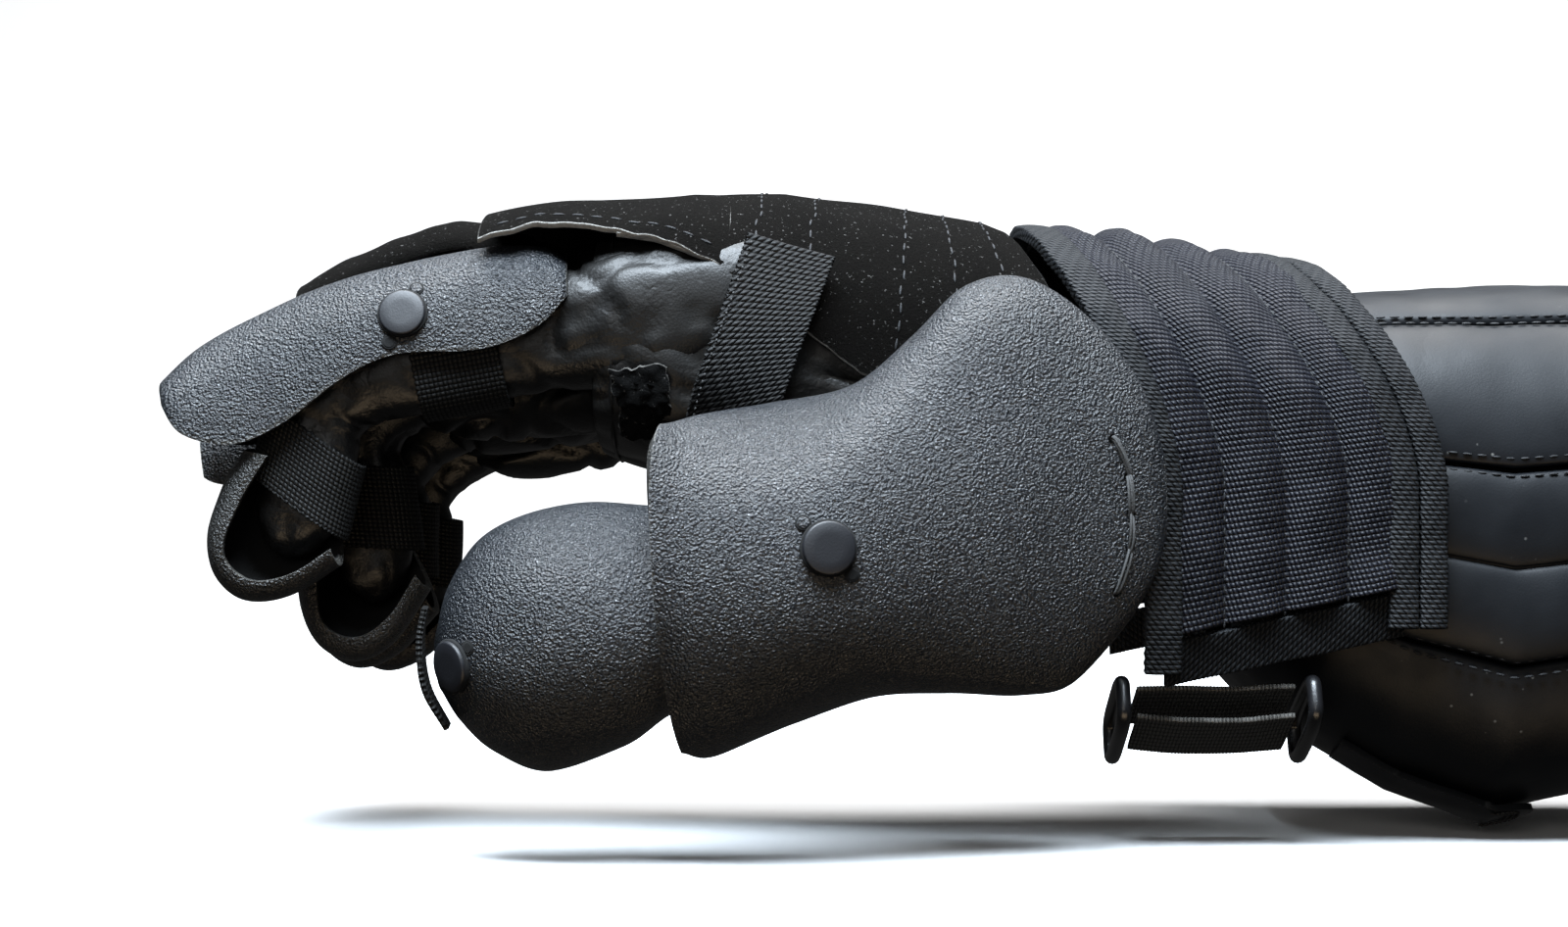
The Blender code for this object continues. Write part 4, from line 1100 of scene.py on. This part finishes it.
def bilinear(near_edge, far_edge, nu, nv):
    """Grid of straight lines between two smooth edges."""
    a, b = spread(near_edge, nu + 1)[:, None], spread(far_edge, nu + 1)[:, None]
    f = np.linspace(0, 1, nv + 1)[None, :, None]
    return a * (1 - f) + b * f


def over_hand(points, off):
    """Points over the near side of the hand from (x, z)."""
    return [skin(HAND, x, theta_at(HAND, x, z), off) for x, z in points]


def hand_elastic():
    near = over_hand(((-296.0, 61.5), (-301.5, 48.0), (-307.5, 34.0), (-312.0, 20.0)), 7.0)
    far = over_hand(((-276.5, 56.5), (-281.0, 46.5), (-286.0, 35.5), (-290.5, 24.0)), 7.0)
    grid = jag(bilinear(near, far, 90, 30), 1, 0.3)
    elastic = keep(shell("hand_elastic", grid, 1.4, "elastic", hint=(0, -1, 0), soften=0.35,
                         lift=wrinkle(14.0, 0.7, 2)))
    mount(elastic, "hand", "hand_strap")
    row = grid[4:-4, 2] + normals_of(grid, (0, -1, 0))[4:-4, 2] * 0.5
    mount(sew("elastic_edge_stitches", [row], 1.6, 0.7, 0.45, "pale_thread"), "hand", slot="hand_strap")


def hook_and_loop_patch():
    """Ragged patch of hook and loop pile on the side of the palm."""
    grid = bilinear(over_hand(((-327.0, 35.0), (-326.0, 28.0), (-324.5, 20.0)), 0.9),
                    over_hand(((-314.5, 36.0), (-314.0, 28.0), (-313.5, 20.0)), 0.9), 60, 40)
    rag = wrinkle(2.2, 1.3, 61)(grid)
    grid[..., 0] += rag
    grid[..., 2] += rag[:, ::-1]
    patch = shell("hook_and_loop_patch", grid, 1.4, "hook", hint=(0, -1, 0), lift=wrinkle(3.0, 0.7, 6))
    mount(keep(patch), "hand", "hook_patch")


palm_and_sides()
finger_root_gusset()
for finger_name in ("middle", "ring", "little"):
    root_fold(finger_name)
suede_covers()
hand_elastic()
hook_and_loop_patch()

# ---------------------------------------------------------------- thumb


def thumb_plate_threads(stitch):
    """Frayed strands between the stitch holes, which are (point, normal) pairs."""
    fray = random.Random(5)
    nodes = ["thumb_plate_stitch"]
    for i, ((p, n), (q, m)) in enumerate(zip(stitch, stitch[1:])):
        for strand in range(3):
            shift = np.array([fray.uniform(-0.5, 0.5) for _ in range(3)])
            mid = (p + q) / 2 + shift * 1.6
            line = [p - n * 1.8, p + n * 0.3 + shift, mid + n * fray.uniform(0.5, 1.3),
                    q + m * 0.3 + shift, q - m * 1.8]
            piece = rope(f"thumb_plate_thread_{i + 1}_{strand + 1}", line, 0.32, "pale_thread", 6, 16)
            mount(piece, "thumb_base", *nodes, slot="thumb_plate_stitch")
            nodes = []


def thumb_back_plate():
    grid = arch_grid(THUMB_N, THUMB_R, THUMB_F, 128, 96)
    # Its inner face takes the near-black look: painted shade under the plate.
    plate = shell("thumb_back_plate", grid, 2.6, "plate", lift=wrinkle(24.0, 0.7, 14), soften=0.9,
                  inside="hole")
    stitch = [nearest_spot(grid, x, z)
              for x, z in ((-215.4, 19.5), (-212.2, 11.0), (-211.3, 3.0), (-212.0, -5.0), (-214.4, -14.5))]
    pierce(plate, [(p, n, 1.15) for p, n in stitch])
    mount(plate, "thumb_base", "thumb_plate")
    centre, normal = nearest_spot(grid, -278.4, -4.6)
    rivet("thumb_plate_rivet", "thumb_base", grid, centre + normal * 0.3, normal, 5.8, 1.2, 1.6)
    thumb_plate_threads(stitch)


def through(rings, count):
    """Smooth rings between the given ones."""
    rings = np.array(rings)
    flat = spread(rings.reshape(len(rings), -1), count)
    return flat.reshape(count, rings.shape[1], 3)


THUMB_CIRCLE = 2 * np.pi * np.arange(64) / 64
THUMB_AXIS_Y = -72.5
THUMB_JOINT_X = -312.0


def thumb_root_leather():
    """Leather tube that leaves the palm sideways and turns a quarter circle to the fingers' way."""
    c, s = np.cos(THUMB_CIRCLE), np.sin(THUMB_CIRCLE)
    rings_out, rings_in = [], []
    for i in range(-1, 6):
        step = max(i, 0)
        phi = math.radians(90 * step / 5)
        reach = 19.0 + (9.8 - 19.0) * step / 5
        tall = 15.0 + (12.0 - 15.0) * step / 5
        zc = 4.0 + (-17.0 - 4.0) * step / 5
        for store, wall in ((rings_out, 0.0), (rings_in, LEATHER)):
            r = 1.5 + reach + (reach - wall) * c
            y = -61.2 - r * math.sin(phi) + (10.0 if i < 0 else 0.0)
            store.append(np.stack([-288.0 + r * math.cos(phi), y, zc + (tall - wall) * s], -1))
    for x, z in ((-297.0, -20.0), (-311.0, -22.5)):
        for store, wall in ((rings_out, 0.0), (rings_in, LEATHER)):
            store.append(np.stack([np.full(64, x), THUMB_AXIS_Y - (9.8 - wall) * c,
                                   z + (12.0 - wall) * s], -1))
    outer, inner = through(rings_out, 60), through(rings_in, 60)
    rings = np.concatenate([fold(outer, 1.2, 11.0, 2.0), inner[::-1]])
    stall = loft("thumb_root_leather", rings, "leather", closed=True)
    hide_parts("thumb_stall_base")
    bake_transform(stall)


def thumb_tip_leather():
    """Leather of the thumb's tip, from (distance past the joint, radius)."""
    stations = ((-9.0, 8.6), (-5.0, 8.6), (0.0, 8.8), (5.0, 8.6), (11.0, 8.6), (16.0, 9.6), (30.0, 9.6),
                (39.0, 8.2), (43.5, 5.8), (45.6, 3.2), (46.0, 1.2))
    rings_out, rings_in = [], []
    for d, r in stations:
        tall = min(11.2, r * 1.14)
        for store, wall in ((rings_out, 0.0), (rings_in, 1.0)):
            rr, tt = max(r - wall, 0.4), max(tall - wall, 0.4)
            store.append(np.stack([np.full(64, THUMB_JOINT_X - d), THUMB_AXIS_Y + rr * np.cos(THUMB_CIRCLE),
                                   -22.8 + tt * np.sin(THUMB_CIRCLE)], -1))
    outer, inner = through(rings_out, 64), through(rings_in[:-2], 50)
    tip = loft("thumb_tip_leather", np.concatenate([inner[::-1], fold(outer, 0.7, 9.0, 4.0)]), "leather")
    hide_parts("thumb_stall_tip")
    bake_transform(tip)


def thumb_tip_dome():
    grid = arch_grid(DOME_F, DOME_R, DOME_N, 96, 90)
    # Its inner face takes the near-black look: painted shade inside the dome.
    dome = shell("thumb_tip_dome", grid, 2.4, "plate", lift=wrinkle(18.0, 0.6, 21), soften=0.8, inside="hole")
    mount(keep(dome), "thumb_tip", "thumb_dome")
    centre, normal = nearest_spot(grid, -359.9, -30.4)
    rivet("thumb_dome_rivet", "thumb_tip", grid, centre + normal * 0.3, normal, 5.6, 1.2, 1.2)


def thumb_tip_webbing():
    inner_edge = ((-368.6, -62, -18.0), (-369.4, -62, -26.0), (-368.0, -62, -36.0), (-363.4, -62, -45.0))
    outer_edge = ((-367.4, -75, -18.0), (-368.4, -76, -26.0), (-367.2, -76, -36.0), (-362.4, -74, -45.0))
    grid = jag(bilinear(inner_edge, outer_edge, 44, 24), 1, 0.22)
    piece = keep(shell("thumb_tip_webbing", grid, 1.3, "webbing", hint=(-1, 0, 0), soften=0.3))
    mount(piece, "thumb_tip", "thumb_band")


thumb_back_plate()
thumb_root_leather()
thumb_tip_leather()
thumb_tip_dome()
thumb_tip_webbing()

# ---------------------------------------------------------------- cuff

PAD_X = (-202.5, -147.5)
CHANNELS = 4
HEM_LEAN_IN = 0.25


def hem(x):
    """Height of the cuff's lower edge on each side."""
    return -27.0 + 12.0 * (np.asarray(x, float) - PAD_X[0]) / (PAD_X[1] - PAD_X[0])


def follow_wrist(obj):
    """Bake a cuff piece's transform into its mesh."""
    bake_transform(obj)


def cuff_padding():
    """Sewn channels round the wrist, puffed between their seams."""
    stations = 74
    xs = np.linspace(*PAD_X, stations)
    a = theta_at(CUFF, xs, hem(xs))
    grid = tube_grid(CUFF, xs, a, 180 - a, 210, CUFF_LEAN, -2.6)
    channel = 3.1 * np.abs(np.sin(np.pi * CHANNELS * np.linspace(0, 1, stations))) ** 0.55
    dents, fine = wrinkle(12.0, 1.3, 17, (0.6, 1, 1)), wrinkle(4.5, 0.35, 18)

    def puffed(g):
        loose = np.clip(channel / 3.0, 0, 1)[None, :]
        return channel[None, :] - 0.5 + (dents(g) + fine(g)) * loose

    pad = keep(shell("cuff_padding", grid, 2.0, "nylon", hint=(0, 0, 1), lift=puffed, soften=0.4))
    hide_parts("cuff_pad")
    follow_wrist(pad)
    seams = []
    for i in range(1, CHANNELS):
        k = int(round((stations - 1) * i / CHANNELS))
        seams.append(grid[::2, k] + normals_of(grid, (0, 0, 1))[::2, k] * 0.1)
    follow_wrist(sew("cuff_channel_stitches", seams, 2.6, 2.0, 0.55))


def tape_round(name, x0, x1, hem_z, out, thickness, ridge, seed):
    """Folded tape round a cuff edge."""
    xs = np.linspace(x0, x1, 14)
    a = theta_at(CUFF, xs, hem_z)
    grid = tube_grid(CUFF, xs, a, 180 - a, 260, CUFF_LEAN, out)
    across = np.linspace(0, 1, 14)
    crown = ridge * np.abs(np.sin(np.pi * across)) ** 0.5
    soft = wrinkle(9.0, 0.5, seed)
    return keep(shell(name, jag(grid, 1, 0.15), thickness, "tape", hint=(0, 0, 1), soften=0.35,
                      lift=lambda g: crown[None, :] + soft(g)))


def cuff_edge_tapes():
    front = tape_round("cuff_front_tape", -206.9, -198.6, -34.0, -0.3, 2.9, 0.6, 31)
    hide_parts("cuff_binding_front")
    follow_wrist(front)
    rear = tape_round("cuff_rear_tape_row_1", -152.2, -145.4, -24.0, -0.9, 3.0, 0.8, 33)
    mount(rear, "forearm", "cuff_binding_rear")
    rear = tape_round("cuff_rear_tape_row_2", -145.2, -139.0, -24.0, -0.9, 3.0, 0.8, 35)
    mount(rear, "forearm", slot="cuff_binding_rear")


def cuff_hem_tape(side, side_name):
    x = -202.0 + 54.0 * np.linspace(0, 1, 9)
    rows = []
    for drop in (0.8, 11.0):
        p = skin(CUFF, x, theta_at(CUFF, x, hem(x)), -1.6)
        rows.append(np.stack([p[:, 0], side * (np.abs(p[:, 1]) - drop * HEM_LEAN_IN), p[:, 2] - drop], -1))
    grid = jag(bilinear(*rows, 110, 14), 1, 0.15)
    piece = keep(shell(f"cuff_hem_tape_{side_name}", grid, 2.4, "tape", hint=(0, side, 0), soften=0.5,
                       lift=wrinkle(10.0, 0.6, 40 + side)))
    mount(piece, "forearm", f"cuff_hem_{side_name}")


cuff_padding()
cuff_edge_tapes()
cuff_hem_tape(-1, "near")
cuff_hem_tape(1, "far")

# ---------------------------------------------------------------- forearm guard

PANELS = {
    # start and end in degrees round the guard, and how many puffed ribs
    "forearm_top": (56.0, 124.0, 3), "forearm_near": (13.0, 55.0, 1),
    "forearm_near_channels": (-17.0, 12.0, 2), "forearm_far": (125.0, 167.0, 1),
    "forearm_far_channels": (168.0, 197.0, 2), "forearm_bottom": (198.0, 342.0, 1),
}
GUARD_X = np.linspace(-183.0, -2.6, 96)


def guard_lining():
    grid = tube_grid(GUARD, GUARD_X, 0, 360, 180)
    liner = keep(shell("guard_lining", grid, 1.8, "lining", hint=(0, 0, -1), closed=True,
                       lift=wrinkle(20.0, 0.5, 50)))
    mount(liner, "forearm", "forearm_liner")


def guard_panel(panel, start, end, ribs):
    """One padded panel of the guard, puffed into ribs across its width."""
    count = 170 if end - start > 100 else 96
    grid = tube_grid(GUARD, GUARD_X, start, end, count)
    across = np.linspace(0, 1, count + 1)
    swell = 2.0 if panel == "forearm_bottom" else 2.6
    puff = 1.6 + swell * np.abs(np.sin(np.pi * ribs * across)) ** 0.35
    ends = np.minimum(1.0, np.minimum(GUARD_X + 185.0, -GUARD_X) / 9.0) ** 0.5
    big, small = wrinkle(34.0, 1.5, start, (0.7, 1, 1)), wrinkle(8.0, 0.35, start + 3, (1, 1, 0.5))

    def bulge(g):
        return (puff[:, None] - 0.6) * ends[None, :] + 0.6 + (big(g) + small(g)) * ends[None, :] * 0.8

    piece = keep(shell(panel + "_padding", grid, 0.0, "vinyl", lift=bulge, soften=0.0, base=0.4))
    mount(piece, "forearm", panel)


def guard_seam_stitches():
    line = np.linspace(-181, -13, 90)
    seams = [skin(GUARD, line, edge, 2.9)
             for start, end, _ in PANELS.values() for edge in (start + 1.2, end - 1.2)]
    mount(sew("guard_seam_stitches", seams, 3.2, 2.3, 0.6), "forearm", slot="forearm_top")


def elbow_end_binding():
    """Tape round the guard's open end, and its rolled rim from (x, distance off the guard)."""
    grid = tube_grid(GUARD, np.linspace(-12.0, -0.4, 14), 0, 360, 300, 0.0, 5.6)
    round_off = 1.0 - np.abs(np.linspace(-1, 1, 14)) ** 4
    tape = keep(shell("elbow_end_tape", grid, 1.3, "tape", hint=(0, 0, -1), closed=True, soften=0.4,
                      lift=lambda g: (round_off - 1.0)[None, :] * 0.6))
    mount(tape, "forearm", "elbow_binding")
    section = ((-2.4, 5.4), (-0.9, 5.2), (0.0, 4.2), (0.0, 2.0), (0.0, -0.8), (-0.6, -2.0),
               (-1.8, -2.4), (-2.4, -2.0), (-2.4, 2.0), (-2.4, 4.4))
    rim = [[skin(GUARD, 0.0, theta, off) + np.array((x, 0, 0)) for x, off in section]
           for theta in np.linspace(0, 360, 240, endpoint=False)]
    mount(loft("elbow_end_rim", rim, "tape", closed=True), "forearm", slot="elbow_binding")


def guard_end_tab():
    """Tab of the guard's own leather under its front, with a rounded end and a bar tack."""
    rows = []
    for i in range(41):
        theta = -61.0 - 16.0 * i / 40
        run = 1.0 - 0.5 * abs(2 * i / 40 - 1) ** 4
        rows.append(skin(GUARD, np.linspace(-158.0, -112.0 - 12.0 * (1 - run) * 2, 70), theta, 6.2))
    grid = np.array(rows)
    tab = keep(shell("guard_end_tab", grid, 1.6, "vinyl", hint=(0, 0, -1), lift=wrinkle(9.0, 0.4, 60)))
    mount(tab, "forearm", "forearm_tab")
    bars = [grid[4:37, k] + np.array((0, 0, -0.3)) for k in (60, 62, 64)]
    mount(sew("tab_bar_tack", bars, 1.1, 1.3, 0.6), "forearm", slot="forearm_tab")


guard_lining()
for panel_name, panel_row in PANELS.items():
    guard_panel(panel_name, *panel_row)
guard_seam_stitches()
elbow_end_binding()
guard_end_tab()

# ---------------------------------------------------------------- wrist strap


def cross_strap(name, line, node, seed):
    """Webbing along (x, z), tilted across the wrist."""
    dy, dz = STRAP_HALF * math.cos(TILT), STRAP_HALF * math.sin(TILT)
    near = [(x, STRAP_MID - dy, z + dz) for x, z in line]
    far = [(x, STRAP_MID + dy, z - dz) for x, z in line]
    grid = jag(bilinear(near, far, 90, 26), 1, 0.2)
    # The strap look is lightened: painted light against the cuff's shade.
    piece = keep(shell(name, grid, 1.4, "strap", hint=(0, 0, -1), soften=0.35, lift=wrinkle(12.0, 0.4, seed)))
    mount(piece, "forearm", node)


def frame_link(name, x, z, body, node):
    """Rounded rectangle of bar that the strap runs through."""
    width, height, bar = 29.0, 10.5, 1.7
    across = np.array((0, math.cos(TILT), -math.sin(TILT)))
    rise = np.array((0, math.sin(TILT), math.cos(TILT)))
    t = 2 * np.pi * np.arange(14) / 14
    along = np.array((1.0, 0, 0))
    rings = []
    for a in 2 * np.pi * np.arange(72) / 72:
        c, s = math.cos(a), math.sin(a)
        out = across * c + rise * s
        centre = (np.array((x, STRAP_MID, z)) + across * power(c, 0.45) * width / 2
                  + rise * power(s, 0.45) * height / 2)
        rings.append(centre + out * bar * np.cos(t)[:, None] + along * bar * np.sin(t)[:, None])
    mount(loft(name, rings, "acetal", closed=True), body, node)


frame_link("strap_front_loop", -211.5, -45.4, "forearm", "strap_loop_front")
frame_link("strap_rear_ring", -168.3, -45.2, "strap_ring", "strap_ring_rear")
cross_strap("wrist_strap_webbing", ((-208.0, -48.6), (-196.0, -49.6), (-184.0, -49.6), (-172.0, -48.6)),
            "wrist_strap", 71)
cross_strap("strap_anchor_webbing", ((-208.0, -42.4), (-196.0, -42.6), (-184.0, -42.4), (-172.0, -42.0)),
            "strap_anchor", 72)

# ---------------------------------------------------------------- studio


def pale_floor():
    """Floor that curves up into a backdrop. It lights neither the object's gloss nor its shadows."""
    half_width, back, front, low, bend, top = 6.0, 3.0, -3.0, -0.0745, 0.8, 4.0
    profile = [(front, low), (back - bend, low)]
    for i in range(1, 13):
        a = math.pi / 2 * i / 12
        profile.append((back - bend + bend * math.sin(a), low + bend - bend * math.cos(a)))
    profile.append((back, top))
    verts = [(x, y, z) for y, z in profile for x in (-half_width, half_width)]
    faces = [(2 * i, 2 * i + 1, 2 * i + 3, 2 * i + 2) for i in range(len(profile) - 1)]
    mesh = bpy.data.meshes.new("studio_floor")
    mesh.from_pydata(verts, [], faces)
    mesh.shade_smooth()
    mat, wiring, shader = finish("pale_backdrop")
    shader.inputs["Base Color"].default_value = (0.86, 0.86, 0.86, 1)
    shader.inputs["Roughness"].default_value = 0.9
    mesh.materials.append(mat)
    floor = bpy.data.objects.new("studio_floor", mesh)
    bpy.context.scene.collection.objects.link(floor)
    floor.visible_glossy = False
    floor.visible_diffuse = False


def lamp(name, location, target, size, energy, colour):
    data = bpy.data.lights.new(name, "AREA")
    data.shape = "RECTANGLE"
    data.size, data.size_y = size
    data.energy = energy
    data.color = colour
    obj = bpy.data.objects.new(name, data)
    bpy.context.scene.collection.objects.link(obj)
    obj.location = location
    obj.rotation_euler = (Vector(target) - Vector(location)).to_track_quat("-Z", "Y").to_euler()


def soft_light():
    lamp("top_softbox", (-0.40, -0.38, 0.86), (-0.28, -0.05, 0), (0.8, 0.4), 50, (0.78, 0.89, 1.0))
    lamp("overhead", (-0.2, 0.1, 0.9), (-0.25, 0, 0), (1.0, 0.4), 10, (0.95, 0.98, 1.0))
    lamp("camera_fill", (-0.5, -1.3, 0.35), (-0.28, -0.05, 0), (0.6, 0.6), 2.4, (1.0, 0.97, 0.93))
    lamp("low_bounce", (-0.2, -0.6, -0.5), (-0.25, 0, -0.03), (0.9, 0.3), 3.0, (1.0, 0.76, 0.5))
    lamp("backdrop_wash", (0.0, 1.0, 2.2), (0.0, 2.4, 0.2), (3.0, 1.2), 120, (1.0, 1.0, 1.0))
    world = bpy.data.worlds.new("studio")
    world.use_nodes = True
    sky = world.node_tree.nodes["Background"]
    sky.inputs["Color"].default_value = (1, 1, 1, 1)
    sky.inputs["Strength"].default_value = 0.06
    bpy.context.scene.world = world


def side_camera():
    data = bpy.data.cameras.new("camera")
    data.lens = 65.6
    data.sensor_width = 36
    camera = bpy.data.objects.new("camera", data)
    camera.location = (-0.288, -0.700, 0.0137)
    camera.rotation_euler = (math.pi / 2, 0, 0)
    bpy.context.scene.collection.objects.link(camera)
    bpy.context.scene.camera = camera
    bpy.context.scene.view_settings.view_transform = "Standard"


pale_floor()
soft_light()
side_camera()
